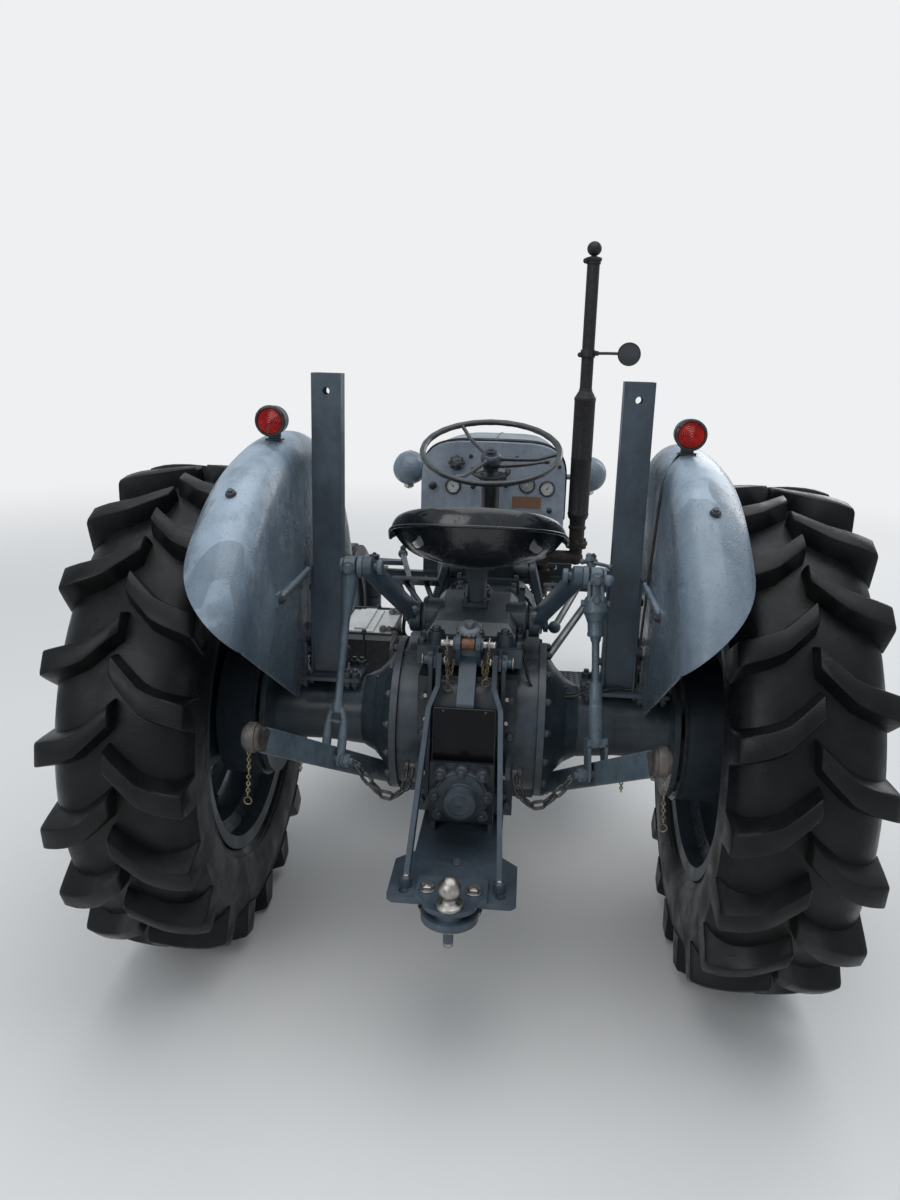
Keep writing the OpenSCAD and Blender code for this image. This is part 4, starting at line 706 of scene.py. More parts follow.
def buildWheelParts(side, name):
    centre = vec(side * rearTyre["track"] / 2, 0, rearTyre["radius"])
    s = Shape()
    out = vec(side, 0, 0)
    s.bolts(spots(centre + out * -67, wheelParts["hubRing"], wheelParts["hubNuts"]), out, across=26,
            head=15, shank=9)
    for k in range(wheelParts["clampNuts"]):
        a = tau * k / wheelParts["clampNuts"] + pi / 2
        across = vec(0, cos(a), sin(a))
        tangent = vec(0, -sin(a), cos(a))
        for shift in (-15, 15):
            place = across * wheelParts["clampRing"] + tangent * shift
            s.bolt(centre + out * 10 + place, out, 24, 13, shank=8)
            s.bolt(centre + out * 2 + place, -out, 24, 10)
    s.revolve(centre + out * -26, out, [(0, 44), (4, 40), (7, 30), (8, 0)], sides=32)
    s.revolve(centre + out * 40, (0, 0.6, 0.8), [(300, 5), (318, 5), (318, 8), (326, 8), (326, 5),
                                                 (334, 5), (334, 0)], sides=12)
    drum = spots(centre + out * -176, wheelParts["drumRing"], wheelParts["drumBolts"])
    s.bolts(drum, -out, across=17, head=7, washer=False)
    s.revolve(centre + out * -175.5, -out, [(0, 140), (0, 186.5), (9, 188), (9, 178), (3, 174), (3, 140)],
              sides=64, closed=True)
    s.piece("rearWheelParts_" + name, wheelPaint, "rear_wheel_" + name, smooth=30, slot="dark_paint")
    f = Shape()
    centre = vec(side * frontTyre["track"] / 2, frontTyre["wheelbase"], frontTyre["radius"])
    f.bolts(spots(centre + out * 8, wheelParts["frontRing"], wheelParts["frontNuts"]), out, across=22,
            head=12, shank=6)
    f.revolve(centre + out * 50, out, [(0, 41), (3, 43), (10, 43), (13, 40), (24, 34), (27, 28), (28, 0)],
              sides=32)
    f.piece("frontWheelParts_" + name, wheelPaint, "front_wheel_" + name, smooth=30, slot="dark_paint")


onBothSides(buildWheelParts)
print("wheel details done")

# Wings and their lamps

wing = {"plateX": 430, "edgeX": 585, "radius": 722, "foot": 130, "rearEnd": 60, "frontEnd": 66, "taper": 20,
        "fall": 0.8, "sheet": 3, "bead": 4.5, "stop": 0.1, "boltAngle": 31, "boltX": 506, "roll": 60,
        "innerDrop": 72, "outerDrop": 57}


def crownRadius(x):
    top = wing["plateX"] + wing["roll"]
    if x < top:
        share = (top - x) / (top - wing["plateX"])
        return wing["radius"] - wing["innerDrop"] * (1 - sqrt(max(0.0, 1 - share * share)))
    return wing["radius"] - wing["outerDrop"] * ((x - top) / (wing["edgeX"] - top)) ** 2


def wingReach(angle):
    over = angle - wing["rearEnd"] + wing["taper"] if angle > 0 else -angle - wing["frontEnd"] + wing["taper"]
    over = max(0.0, over) / wing["taper"]
    inner = wing["plateX"] + 2
    return inner + (wing["edgeX"] - wing["plateX"] - 2) * max(0.0, 1 - over * over) ** wing["fall"]


def wingPoint(angle, x, r):
    a = radians(angle)
    return vec(x, -r * sin(a), rearTyre["radius"] + r * cos(a))


def wingRow(angle, inset=0.0):
    low, top = wing["foot"], crownRadius(wing["plateX"])
    row = [wingPoint(angle, wing["plateX"] + inset, low + (top - low) * k / 7) for k in range(8)]
    for k in range(1, 25):
        share = (k / 24) ** 1.35
        x = wing["plateX"] + (wingReach(angle) - wing["plateX"]) * share
        fold = inset * max(0.0, 1 - share * 4)
        row.append(wingPoint(angle, x + fold, crownRadius(x) - inset))
    return row


def buildWings():
    s = Shape()
    span = wing["rearEnd"] + wing["frontEnd"]
    angles = [-wing["frontEnd"] + span * (0.5 - 0.5 * cos(pi * k / 72)) for k in range(73)]
    angles = [min(max(a, wing["stop"] - wing["frontEnd"]), wing["rearEnd"] - wing["stop"]) for a in angles]
    outer = [wingRow(a) for a in angles]
    inner = [wingRow(a, wing["sheet"]) for a in angles]
    s.rings([o + i[::-1] for o, i in zip(outer, inner)])
    s.tube([row[-1] - vec(0, 0, 1.5) for row in outer], wing["bead"], sides=10)
    for angle in (wing["rearEnd"] - 0.3, -wing["frontEnd"] + 0.3):
        s.tube([wingPoint(angle, wing["plateX"] + 1.5, 140 + 510 * k / 12) for k in range(13)], 3.6, sides=8)
    for y in (-50, 38):                       # brackets to the axle
        s.box((426, y, 736), (431, y + 12, 818))
    s.rod((428, -300, 1000), (421.5, -40, 1010), 8, chamfer=1)
    s.box((424, -318, 985), (430, -284, 1015))
    s.mirrored()
    obj = s.piece("wings", wingPaint, smooth=40, slot="pale_paint", weld=False)
    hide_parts("wings")
    b = Shape()
    for angle in (-3, 4):
        for r in (170, 215):
            b.bolt(wingPoint(angle * 3, wing["plateX"] - 4, r), -toRight, 19, 8, shank=4)
    a = wingPoint(wing["boltAngle"], wing["boltX"], crownRadius(wing["boltX"]))
    b.bolt(a, a - vec(wing["boltX"], 0, rearTyre["radius"]), 19, 7, shank=5)
    b.bolt((424, -301, 1000), -toRight, 17, 7, shank=4)
    b.bolt((431, -301, 1000), toRight, 17, 6)
    b.mirrored()
    b.piece("wingBolts", wheelPaint, smooth=30, slot="pale_paint")


buildWings()
print("wings done")

tailLamp = {"x": 480, "height": 1386, "rear": -150, "radius": 34, "ribs": 7}


def buildTailLamps():
    can, lens, rim = Shape(), Shape(), Shape()
    x, z, rear = tailLamp["x"], tailLamp["height"], tailLamp["rear"]
    r = tailLamp["radius"]
    can.revolve((x, -92, z), -toFront, [(0, 0), (0, 20), (4, 28), (14, r - 1), (54, r - 1), (54, 0)],
                sides=40)
    can.box((x - 14, -118, 1341), (x + 14, -106, z - 22))
    can.box((x - 20, -124, 1339), (x + 20, -100, 1343))
    can.bolt((x, -98, z - 4), toFront, 12, 8, washer=False)
    can.bent([(x + 8, -94, z - 12), (x + 16, -84, z - 30), (x + 10, -96, 1342)], 6, 3)
    rim.revolve((x, rear + 6, z), -toFront, [(0, r - 3), (0, r + 1), (6, r + 2.2), (10, r + 1),
                                             (12, r - 4), (8, r - 5)], sides=48, closed=True)
    profile = [(0, r - 4), (3, r - 5)]
    for k in range(tailLamp["ribs"]):
        q = (r - 6) * (1 - k / tailLamp["ribs"])
        profile += [(4.5 + k * 0.7, q), (2.8 + k * 0.7, q - 1.6)]
    lens.revolve((x, rear, z), -toFront, profile + [(8.5, 0)], sides=48)
    for k in range(3):
        a = tau * k / 3 + 0.5
        rim.bolt((x + cos(a) * (r - 1), rear - 3.5, z + sin(a) * (r - 1)), -toFront, 5, 2, washer=False)
    for shape in (can, lens, rim):
        shape.mirrored()
    obj = can.piece("tailLamps", wheelPaint, slot="black")
    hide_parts("tail_lamps")
    lens.piece("tailLenses", redLens, smooth=60, slot="black")
    rim.piece("tailLampRims", blackPaint, slot="black")


buildTailLamps()
print("tail lamps done")

# Posts: welds and bolts

post = {"x": 372, "half": 36, "rear": -43, "front": 7, "foot": 734.3, "channelTop": 1019}


def weldLine(s, start, end, r=3.2, step=5):
    start, end = vec(start), vec(end)
    count = max(2, int((end - start).length / step))
    for k in range(count + 1):
        s.ball(start.lerp(end, k / count), r, sides=8)


def buildPostDetails():
    s = Shape()
    x0, x1 = post["x"] - post["half"] - 5, post["x"] + post["half"] + 5
    for x in (x0, x1):
        weldLine(s, (x, post["rear"] - 6, post["foot"]), (x, post["front"] + 8, post["foot"]))
    weldLine(s, (x0 + 4, post["rear"], post["foot"]), (x1 - 4, post["rear"], post["foot"]))
    for x in (x0 + 2.5, x1 - 2.5):
        weldLine(s, (x, post["rear"] + 4, post["channelTop"]), (x, post["front"] - 4, post["channelTop"]), 2)
    for x in (x0, x1):
        weldLine(s, (x, post["rear"] - 1, 745), (x, post["rear"] - 1, 1010), 2.2, 4)
    s.mirrored()
    s.piece("postWelds", bodyPaint, smooth=60, slot="paint", weld=False)
    b = Shape()
    for x in (298, 318, 428, 486):
        for y in (-56, 44):
            b.bolt((x, y, post["foot"]), toTop, 22, 12, shank=8)
            b.bolt((x, y, 724), -toTop, 22, 12, shank=6)
    for z in (800, 960):
        b.bolt((x1, -18, z), toRight, 17, 7)
        b.bolt((x0, -18, z), -toRight, 17, 7, shank=4)
    b.mirrored()
    b.piece("postBolts", wheelPaint, smooth=30, slot="paint")


buildPostDetails()
print("post details done")

# Seat pan on its bracket

seat = {"mid": (0, 80, 1100), "halfWidth": 230, "halfLength": 190, "depth": 77, "rise": 94, "sheet": 4,
        "floor": 910.3, "rim": 0.06, "lip": (0.03, 0.11), "turnDown": (22, 20)}


def panPoint(share, a, drop=0.0):
    back = max(0.0, -sin(a)) ** 0.6
    inner, over = min(share, 1), max(0.0, share - 1) / seat["rim"]
    lip = seat["lip"][0] + seat["lip"][1] * back
    reach = (inner + over * lip) / (1 + lip)
    turned = (seat["turnDown"][0] + seat["turnDown"][1] * back) * over ** 1.8
    height = -seat["depth"] * (1 - inner ** 5) + seat["rise"] * back * inner ** 4 - turned
    return vec(seat["mid"]) + vec(seat["halfWidth"] * reach * cos(a), seat["halfLength"] * reach * sin(a),
                                  height - drop)


def buildSeat():
    pan = Shape()
    count = 96
    shares = [0.02, 0.15, 0.3, 0.42, 0.52, 0.6, 0.68, 0.75, 0.81, 0.86, 0.9, 0.935, 0.965, 0.985, 1.0,
              1.01, 1.022, 1.035, 1.048, 1.06]
    rings = []
    for k in range(count):
        a = tau * k / count
        under = [panPoint(q, a, seat["sheet"]) for q in reversed(shares)]
        rings.append([panPoint(q, a) for q in shares] + under)
    pan.rings(rings, loop=True)
    pan.rings([[panPoint(0.02, tau * k / count, d) for k in range(count)] for d in (0, seat["sheet"])])
    cutter = Shape()
    for x, y, turn, half in ((-150, 12, -62, 30), (150, 12, 62, 30), (-118, 150, 58, 26),
                             (118, 150, -58, 26)):
        m = Matrix.Translation((x, y, 1000)) @ Matrix.Rotation(radians(turn), 4, "Z")
        cutter.slab(roundedOutline(half, 7, 6.9), 120, m)
    for x, y, r in ((0, 150, 12), (0, 40, 8)):
        cutter.rod((x, y, 1000), (x, y, 1120), r, sides=24)
    tool = cutter.piece("seatCutter", blackPaint, smooth=38)
    obj = pan.piece("seatPan", seatPaint, smooth=50, slot="black")
    cut(obj, tool)
    obj.data.set_sharp_from_angle(angle=radians(40))
    rim = Shape()
    rim.tube([panPoint(1.06, tau * k / 120, 1) for k in range(120)], 4.5, sides=10, closed=True)
    rim.piece("seatRim", seatPaint, smooth=60, slot="black")
    b = Shape()
    z0 = seat["floor"]
    b.box((-34, 36, z0), (34, 124, z0 + 12))
    low = [(x, y, z0 + 8) for x, y in ((-29, 58), (29, 58), (29, 112), (-29, 112))]
    mid = [(x, y, z0 + 60) for x, y in ((-22, 62), (22, 62), (22, 110), (-22, 110))]
    high = [(x, y, 1018.5) for x, y in ((-33, 50), (33, 50), (33, 135), (-33, 135))]
    b.rings([low, mid, high])
    b.box((-46, 44, 1012), (46, 142, 1018.5))
    for x in (-24, 24):                       # ribs of the bracket
        b.rings([[(x - 3, 40, z0 + 10), (x + 3, 40, z0 + 10), (x + 3, 70, z0 + 10), (x - 3, 70, z0 + 10)],
                 [(x - 3, 58, z0 + 55), (x + 3, 58, z0 + 55), (x + 3, 72, z0 + 55), (x - 3, 72, z0 + 55)]])
    b.bolts([(x, y, z0 + 12) for x in (-26, 26) for y in (44, 117)], toTop, across=17, head=8, shank=4)
    for x in (-36, 36):
        b.bolt((x, 132, 1023), toTop, 15, 4)
    holder = b.piece("seatBracket", castPaintDarkForShade, bevel=1.6, slot="dark_paint")
    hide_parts("seat")


seatPaint = makePaint("seatPaint", (0.0055, 0.007, 0.009), (0.011, 0.013, 0.016), (0.003, 0.003, 0.0035),
                      (0.14, 0.3), rust=0.05, drops=True, grain=0.08, coat=0.5)
buildSeat()
print("seat done")

# Steering wheel, its column's lever and the dash

steering = {"mid": (0, 686, 1250), "lean": 20.6, "radius": 218, "rim": 11, "spokes": (90, 210, 330),
            "drop": 26}


def buildSteeringWheel():
    lean = radians(steering["lean"])
    axis = vec(0, -sin(lean), cos(lean))
    x = vec(0, -cos(lean), -sin(lean))
    y = toRight
    mid = vec(steering["mid"])

    def at(r, a, h):
        return mid + x * (r * cos(a)) + y * (r * sin(a)) + axis * h

    s = Shape()
    ring = []
    for k in range(180):
        grip = 0.7 * max(0.0, sin(k * tau / 7.5))
        ring.append((at(steering["radius"] - 0.6, tau * k / 180, 0), steering["rim"] - 0.9 + grip))
    s.tube([q for q, r in ring], [r for q, r in ring], sides=14, closed=True, flat=0.9)
    for a in steering["spokes"]:
        a = radians(a)
        d = -steering["drop"]
        s.bent([at(14, a, d), at(60, a, d), at(118, a, d + 1), at(150, a, d + 4), at(184, a, d + 15),
                at(214, a, -2)], 7, 6.4, sides=12)
        s.tube([at(r, a, h) for r, h in ((22, d), (30, d), (40, d))], [12, 10, 7], sides=14)
    s.piece("steeringWheelRim", wheelRubber, "steering_wheel", smooth=55, slot="black")
    h = Shape()
    base = mid + axis * (-steering["drop"] - 16)
    h.revolve(base, axis, [(0, 0), (0, 26), (3, 31), (8, 33), (22, 33), (27, 30), (31, 26), (33, 22),
                           (33, 0)], sides=48)
    h.bolt(base + axis * 33, axis, 30, 12, shank=5)
    h.revolve(base, -axis, [(0, 26), (6, 15), (20, 12), (84, 12), (84, 9), (90, 9), (90, 0)], sides=32)
    hub = h.piece("steeringHub", wheelPaint, "steering_wheel", slot="black")
    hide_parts("steering_wheel")
    c = Shape()                               # column jacket, throttle quadrant and lever under the wheel

    def under(r, turn, h):                    # turn is 0 to the right and grows towards the driver
        a = radians(turn)
        return mid + axis * h + y * (r * cos(a)) + x * (r * sin(a))

    c.revolve(mid - axis * 92, -axis, [(0, 19.3), (0, 25), (5, 29), (236, 29), (242, 25), (242, 19.3)],
              sides=40, closed=True)
    c.collar(mid - axis * 64, axis, 19.3, 25, 14, sides=32)
    sector = [[under(r, turn, h) for r, h in ((46, -71), (61, -71), (61, -66), (46, -66))]
              for turn in range(-14, 199, 6)]
    c.rings(sector)
    for turn in range(-11, 195, 6):           # teeth of the quadrant
        c.rings([[under(r, turn + d, h) for d, h in ((-1.2, -71), (1.2, -71), (1.2, -66), (-1.2, -66))]
                 for r in (60, 65)])
    for turn in (20, 160):
        c.tube([under(20, turn, -68), under(50, turn, -68)], 5, sides=10, flat=0.5)
        c.bolt(under(54, turn, -66), axis, 9, 4, washer=False)
    c.tube([under(r, turn, -52) for r, turn in ((22, 4), (60, -3), (120, -9), (178, -13))],
           [6, 4.6, 4.2, 4], sides=10)
    for r in range(40, 150, 9):
        c.ball(under(r, -3 - (r - 60) * 0.1, -56), 2.6, sides=8)
    c.ball(under(184, -13, -52), 8, squash=(1.3, 1, 0.9), sides=16)
    c.piece("throttle", blackPaint, smooth=40, slot="black")


wheelRubber = makePlain("wheelRubber", (0.014, 0.018, 0.022), (0.030, 0.037, 0.044), (0.24, 0.42),
                        coat=0.2, scale=40)
buildSteeringWheel()
print("steering wheel done")

dash = {"rear": 940, "gauges": ((-139, 1099, 25, "pale"), (118, 1113, 26, "dark"), (188, 1102, 25, "pale")),
        "studs": ((-210, 1100, 13), (-69, 1102, 8), (45, 1110, 8), (199, 1028, 9))}
seal = {"half": 252, "y": 989, "low": 990, "side": 1105, "rise": 152}


def buildGauge(bezels, faces, marks, x, z, r):
    rear = dash["rear"]
    bezels.revolve((x, rear, z), -toFront, [(0, r + 3), (2, r + 3), (6, r + 1.5), (8, r - 1.5),
                                            (5, r - 3.5)], sides=48)
    faces.revolve((x, rear, z), -toFront, [(2.5, r - 3), (2.5, 0)], sides=48)
    for k in range(11):
        a = radians(225 - 27 * k)
        m = Matrix.Translation((x, rear - 2.6, z)) @ Matrix.Rotation(-a, 4, "Y")
        marks.box((r - 9 if k % 5 == 0 else r - 7, -0.5, -0.6), (r - 4, 0.3, 0.6), basis=m)
    a = radians(150 - (x * 7) % 110)
    tip = vec(x + cos(a) * (r - 8), rear - 3.8, z + sin(a) * (r - 8))
    marks.tube([(x - cos(a) * 5, rear - 3.8, z - sin(a) * 5), tip], [1.5, 0.5], sides=6)
    marks.rod((x, rear - 2.5, z), (x, rear - 5, z), 3, sides=16)


def buildDash():
    bezels, pale, dark, marks, lightMarks, glass = (Shape() for _ in range(6))
    rear = dash["rear"]
    for x, z, r, face in dash["gauges"]:
        buildGauge(bezels, pale if face == "pale" else dark, marks if face == "pale" else lightMarks, x, z, r)
        glass.revolve((x, rear, z), -toFront, [(6.0, r - 2.5), (6.6, r * 0.6), (7.0, 0)], sides=40)
    bezels.piece("gaugeBezels", blackPaint, slot="black")
    pale.piece("gaugeFacesPale", whiteFace, slot="paint", smooth=38)
    dark.piece("gaugeFacesDark", darkFace, slot="paint", smooth=38)
    marks.piece("gaugeMarks", softRubber, slot="black", smooth=38)
    lightMarks.piece("gaugeMarksLight", whiteFace, slot="paint", smooth=38)
    glass.piece("gaugeGlass", lampGlass, smooth=60, slot="paint")
    k = Shape()
    for x, z, r in dash["studs"]:
        k.revolve((x, rear, z), -toFront, [(0, r), (3, r), (5, r * 0.55), (12, r * 0.5), (14, r), (20, r),
                                           (23, r * 0.7), (24, 0)], sides=28)
    k.piece("dashKnobs", blackPaint, smooth=40, slot="black")
    d = Shape()
    d.slab(roundedOutline(50, 20, 3), 1.6, Matrix.Translation((119, rear - 0.2, 1052))
           @ Matrix.Rotation(pi / 2, 4, "X"))
    for x in (72, 166):
        for z in (1036, 1068):
            d.ball((x, rear - 2, z), 2.4, squash=(1, 0.5, 1), sides=10)
    d.piece("dashPlate", brownPlate, smooth=40, slot="paint")
    e = Shape()
    for x in (-230, -80, 80, 226):            # panel screws and the steering bracket
        for z in (960, 1180) if abs(x) > 100 else (1205,):
            e.bolt((x, rear, z), -toFront, 11, 4)
    e.box((-46, rear - 6, 1120), (46, rear, 1150))
    e.bolts([(x, rear - 6, 1135) for x in (-34, 34)], -toFront, across=15, head=6)
    e.piece("dashScrews", wheelPaint, smooth=30, bevel=0.8, slot="paint")
    q = Shape()                               # dark seal round the bonnet's rear edge
    half, y = seal["half"], seal["y"]
    arch = [(half * u, y, seal["side"] + seal["rise"] * v) for u, v in crown()]
    feet = [(half, y, seal["low"]), (half, y, 1050)]
    q.tube(feet + arch + [(-x, y, z) for x, y, z in reversed(feet)], 4.2, sides=8)
    q.piece("bonnetSeal", softRubber, smooth=50, slot="black")
    f = Shape()                               # knobbly cap high on the left
    cap = vec(-128, rear, 1174)
    lean = vec(0, -0.85, 0.53)
    f.revolve(cap - lean * 6, lean, [(0, 19), (14, 19), (15, 22), (27, 22.5), (31, 19), (33, 11),
                                     (34, 0)], sides=40)
    for p in circle(cap + lean * 16, lean, 22, 8):
        f.ball(p, 6.5, sides=12)
    f.piece("fillerCap", blackPaint, smooth=40, slot="dark_paint")


buildDash()
print("dash done")

# Rear housing: bolts, bosses, take-off cap and plugs

housing = {"flangeX": 190.3, "flangeRing": 189, "flangeBolts": 16, "axle": 628, "rear": -185, "takeOff": 545}


def buildHousingDetails():
    b = Shape()
    flange = spots((housing["flangeX"], 0, housing["axle"]), housing["flangeRing"],
                   housing["flangeBolts"], 0.5)
    b.bolts(flange, toRight, across=17, head=8, shank=3)
    for y in (-125, -60, 10, 120, 190, 255):
        b.bolt((119, y, 860), toTop, 17, 9, shank=2)
    for z in (470, 560, 650, 745):
        b.bolt((107, housing["rear"], z), -toFront, 17, 8)
    for y in (265, 150, 60):
        b.bolt((172, y, 790 if y > 100 else 700), toRight, 17, 7)
    for z in (500, 700, 780):
        b.bolt((150, 300, z), -toFront, 19, 9)
    b.mirrored()
    lobes = [(0, 62), (-50, 54), (50, 54), (-60, 2), (60, 2), (-50, -46), (50, -46)]
    for x, z in lobes:                        # lobes of the take-off flange
        p = vec(x, -291, housing["takeOff"] + z)
        b.rod(p, p + vec(0, -24, 0), 16, sides=24, chamfer=3)
        b.bolt(p + vec(0, -24, 0), -toFront, 17, 9, shank=3)
    b.rod((0, -291, housing["takeOff"]), (0, -314, housing["takeOff"]), 65, sides=48, chamfer=3)
    b.piece("housingBolts", wheelPaint, smooth=30, slot="paint")
    c = Shape()
    cap = (0, -318, housing["takeOff"])
    c.revolve(cap, -toFront, [(0, 40), (3, 40), (5, 37.6), (24, 37.4), (28, 35.5), (31, 31), (32.5, 26),
                              (32.5, 22), (30.5, 20.5), (30.5, 12), (32, 9), (32.5, 0)], sides=56)
    for x in (-1, 1):                         # bosses on the lift cover, with their bolts
        for y, top in ((-118, 892), (205, 886)):
            c.revolve((x * 84, y, 815), toTop, [(0, 25), (30, 22), (top - 819, 20), (top - 815, 17),
                                                (top - 815, 0)], sides=32)
            c.bolt((x * 84, y, top), toTop, 19, 9)
        shaft = (x * 136, 60, 874)
        c.revolve(shaft, (x, 0, 0), [(-10, 54), (-4, 54), (-2, 50.5), (0, 50.5), (0, 24)], sides=48)
        c.revolve((x * 236, -34, 724.6), toTop, [(0, 13), (3, 13), (4, 11), (10, 10), (10, 0)], sides=20)
    c.box((-40, -146, 858), (40, -96, 884))
    c.bolt((0, -120, 884), toTop, 22, 11, shank=5)
    c.revolve((0, -150, 858), -toFront, [(-10, 40), (4, 38), (9, 32), (14, 31), (16, 27), (24, 26),
                                         (27, 22), (28, 0)], sides=40)
    for k in range(3):
        c.revolve((0, -156 - 7 * k, 858), -toFront, [(0, 31 - 2 * k), (2, 33 - 2 * k), (4, 31 - 2 * k)],
                  sides=40)
    c.bolt((62, 232, 884), toTop, 24, 12, washer=False)        # oil plugs
    c.bolt((-172, 140, 560), -toRight, 24, 10, washer=False)
    c.bolt((0, 60, 430), -toTop, 27, 10, washer=False)
    for x in (-46, 0, 46):                    # ribs on the rear cover
        c.rings([[(x - 4, -184, 630), (x + 4, -184, 630), (x + 3, -184, 780), (x - 3, -184, 780)],
                 [(x - 3, -196, 640), (x + 3, -196, 640), (x + 2, -190, 770), (x - 2, -190, 770)]])
    cover = [(-184, 800)] + [(-122 - 108 * sin(radians(a)), 700 + 108 * cos(radians(a)))
                             for a in range(30, 126, 6)] + [(-184, 640)]
    c.rings([[(x, y, z) for y, z in cover] for x in (-76, 76)])        # round cover behind the number plate
    c.piece("housingBosses", castPaintDarkForShade, slot="paint", bevel=1.2)
    w = Shape()                               # lead held along the right axle casting
    path = [(128, -118, 846), (140, -132, 812), (150, -128, 770), (176, -110, 742), (214, -78, 722),
            (262, -62, 718), (300, -70, 738), (336, -68, 739), (372, -52, 742), (414, -44, 745),
            (419, -40, 840), (424, -60, 1000), (426, -110, 1180), (430, -130, 1270), (452, -118, 1322),
            (470, -104, 1345)]
    w.bent(path, 6, 3.2)
    w.bent([vec(p) + vec(-4, 7, 5) for p in path[:8]], 6, 2.4)
    w.piece("lampLead", leadCovering, smooth=60, slot="black")


buildHousingDetails()
print("housing details done")

# Lift linkage: rods, links, balls and chains

linkage = {"pin": (205, 100, 395), "ball": (410, -580, 785), "share": 0.47, "tip": (250, -150, 1050),
           "headX": 290, "barHeight": 55, "barThick": 14, "ballHole": 11.2}
ballPoint, pinPoint = vec(linkage["ball"]), vec(linkage["pin"])
footPoint = ballPoint + (pinPoint - ballPoint) * linkage["share"]
headPoint = vec(linkage["headX"], linkage["tip"][1], linkage["tip"][2])
barWay = (ballPoint - pinPoint).normalized()
barSide = vec(-barWay.y, barWay.x, 0).normalized()
barUp = barWay.cross(barSide).normalized()


def buildLowerLink(side, name):
    s = Shape()
    half = linkage["barHeight"] / 2
    outline = roundedOutline(half, linkage["barThick"] / 2, 3, 4)
    length = (ballPoint - pinPoint).length
    rings = []
    for t, scale in ((8, 0.92), (24, 1), (length * 0.5, 1), (length - 52, 1), (length - 30, 0.86),
                     (length - 20, 0.8)):
        base = pinPoint + barWay * t
        rings.append([base + barUp * (u * scale) + barSide * v for u, v in outline])
    s.rings(rings)
    s.collar(pinPoint + vec(-10, 0, 0), toRight, 15, 30, 24, 3)
    s.rod(pinPoint + vec(-60, 0, 0), pinPoint + vec(32, 0, 0), 14, sides=28, chamfer=2)
    s.rod(pinPoint + vec(30, -18, 0), pinPoint + vec(30, 18, 0), 2.6, sides=8)
    edge = [(0, 11.5), (1.2, 10.5), (1.2, 8.2), (0, 8)]
    for t in (0.24, 0.40, 0.56):              # spare holes with their worn edges
        c = pinPoint + barWay * (length * t)
        for sign in (1, -1):
            s.revolve(c + barSide * sign * 7, barSide * sign, edge, sides=24)
    flip(s, side)
    obj = s.piece("lowerLink_" + name, linkPaint, "lower_link_" + name, smooth=38, slot="paint")
    b = Shape()
    ball = ballPoint
    hole = linkage["ballHole"]
    b.revolve(ball + vec(-19, 0, 0), toRight, [(0, hole), (0, 16)] + [
        (19 - 19 * cos(pi * k / 14) * 0.995, 17 + 11.5 * sin(pi * k / 14)) for k in range(1, 14)]
        + [(38, 16), (38, hole)], sides=48, closed=True)
    b.revolve(ball + vec(-10, 0, 0), toRight, [(0, 27), (1, 30), (4, 31), (16, 31), (19, 30), (20, 27)],
              sides=48, closed=True)
    b.rings([[ball - barWay * t + barUp * u * k + barSide * v * 1.15 for u, v in outline] for t, k in
             ((50, 0.88), (36, 0.94), (27, 0.9))])
    flip(b, side)
    b.piece("linkBall_" + name, ballRust, "lower_link_" + name, smooth=50, slot="rusty")
    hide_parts("lower_link_" + name)
    c = Shape()
    chainLinks(c, [ball + vec(8, -2, -30), ball + vec(9, -3, -75), ball + vec(13, -4, -128)], 11, 5, 1.7)
    turns = [tau * k / 20 for k in range(20)]
    c.tube([ball + vec(13, -4, -140) + vec(8 * cos(a), 0, 8 * sin(a)) for a in turns], 1.5, sides=6,
           closed=True)
    mid = pinPoint + barWay * (length * 0.72) - barUp * 27
    chainLinks(c, [mid, mid + vec(1, 0, -22)], 9, 4.6, 1.4)
    flip(c, side)
    c.piece("ballChain_" + name, brassChain, "lower_link_" + name, smooth=60, slot="chain", weld=False)


ballRust = makeMetal("ballRust", (0.115, 0.105, 0.098), (0.048, 0.040, 0.035), 0.2, (0.35, 0.6),
                     metal=0.5, grain=0.7, scale=28)
brassChain = makeMetal("brassChain", (0.30, 0.25, 0.16), (0.10, 0.08, 0.055), 0.15, (0.35, 0.55), metal=0.8)
linkPaint = makePaint("linkPaint", (0.070, 0.100, 0.123), (0.110, 0.148, 0.176), (0.032, 0.044, 0.054),
                      (0.28, 0.5), rust=0.14, drops=True, grain=0.2)
onBothSides(buildLowerLink)
print("lower links done")

# Lift rods: the left one plain with a looped fork, the right one with its levelling box

rodUp = (headPoint - footPoint).normalized()
rodLength = (headPoint - footPoint).length
forkTurn = Matrix.Rotation(atan2(ballPoint.x - pinPoint.x, pinPoint.y - ballPoint.y), 4, "Z")
fork = {"gap": 34, "rod": 9.4}


def forkSide(offset):                         # from the foot's middle sideways, square to the link's bar
    return (forkTurn @ vec(offset, 0, 0, 0)).to_3d()


def rodHead(s):
    s.collar(headPoint + vec(-12, 0, 0), toRight, 10.2, 24, 28, 2)
    s.bolt(headPoint + vec(2, -23, 0), -toFront, 24, 12, shank=6)
    s.bolt(headPoint + vec(2, 23, 0), toFront, 24, 12)


def forkFoot(s):
    for sign in (-1, 1):
        out = forkSide(sign)
        inner = footPoint + out * (fork["gap"] / 2)
        s.collar(inner, out, 10, 18, 7, 1, sides=32)
        s.rod(inner + out * 7, inner + out * 15, 14, sides=24, chamfer=1.5)
    out = forkSide(1)
    s.rod(footPoint - out * 36, footPoint + out * 36, 9.5, sides=24, chamfer=2)
    s.bolt(footPoint - out * 32, -out, 27, 12, shank=8)
    s.rod(footPoint + out * 30 + vec(0, -13, 0), footPoint + out * 30 + vec(0, 13, 0), 2.4, sides=8)


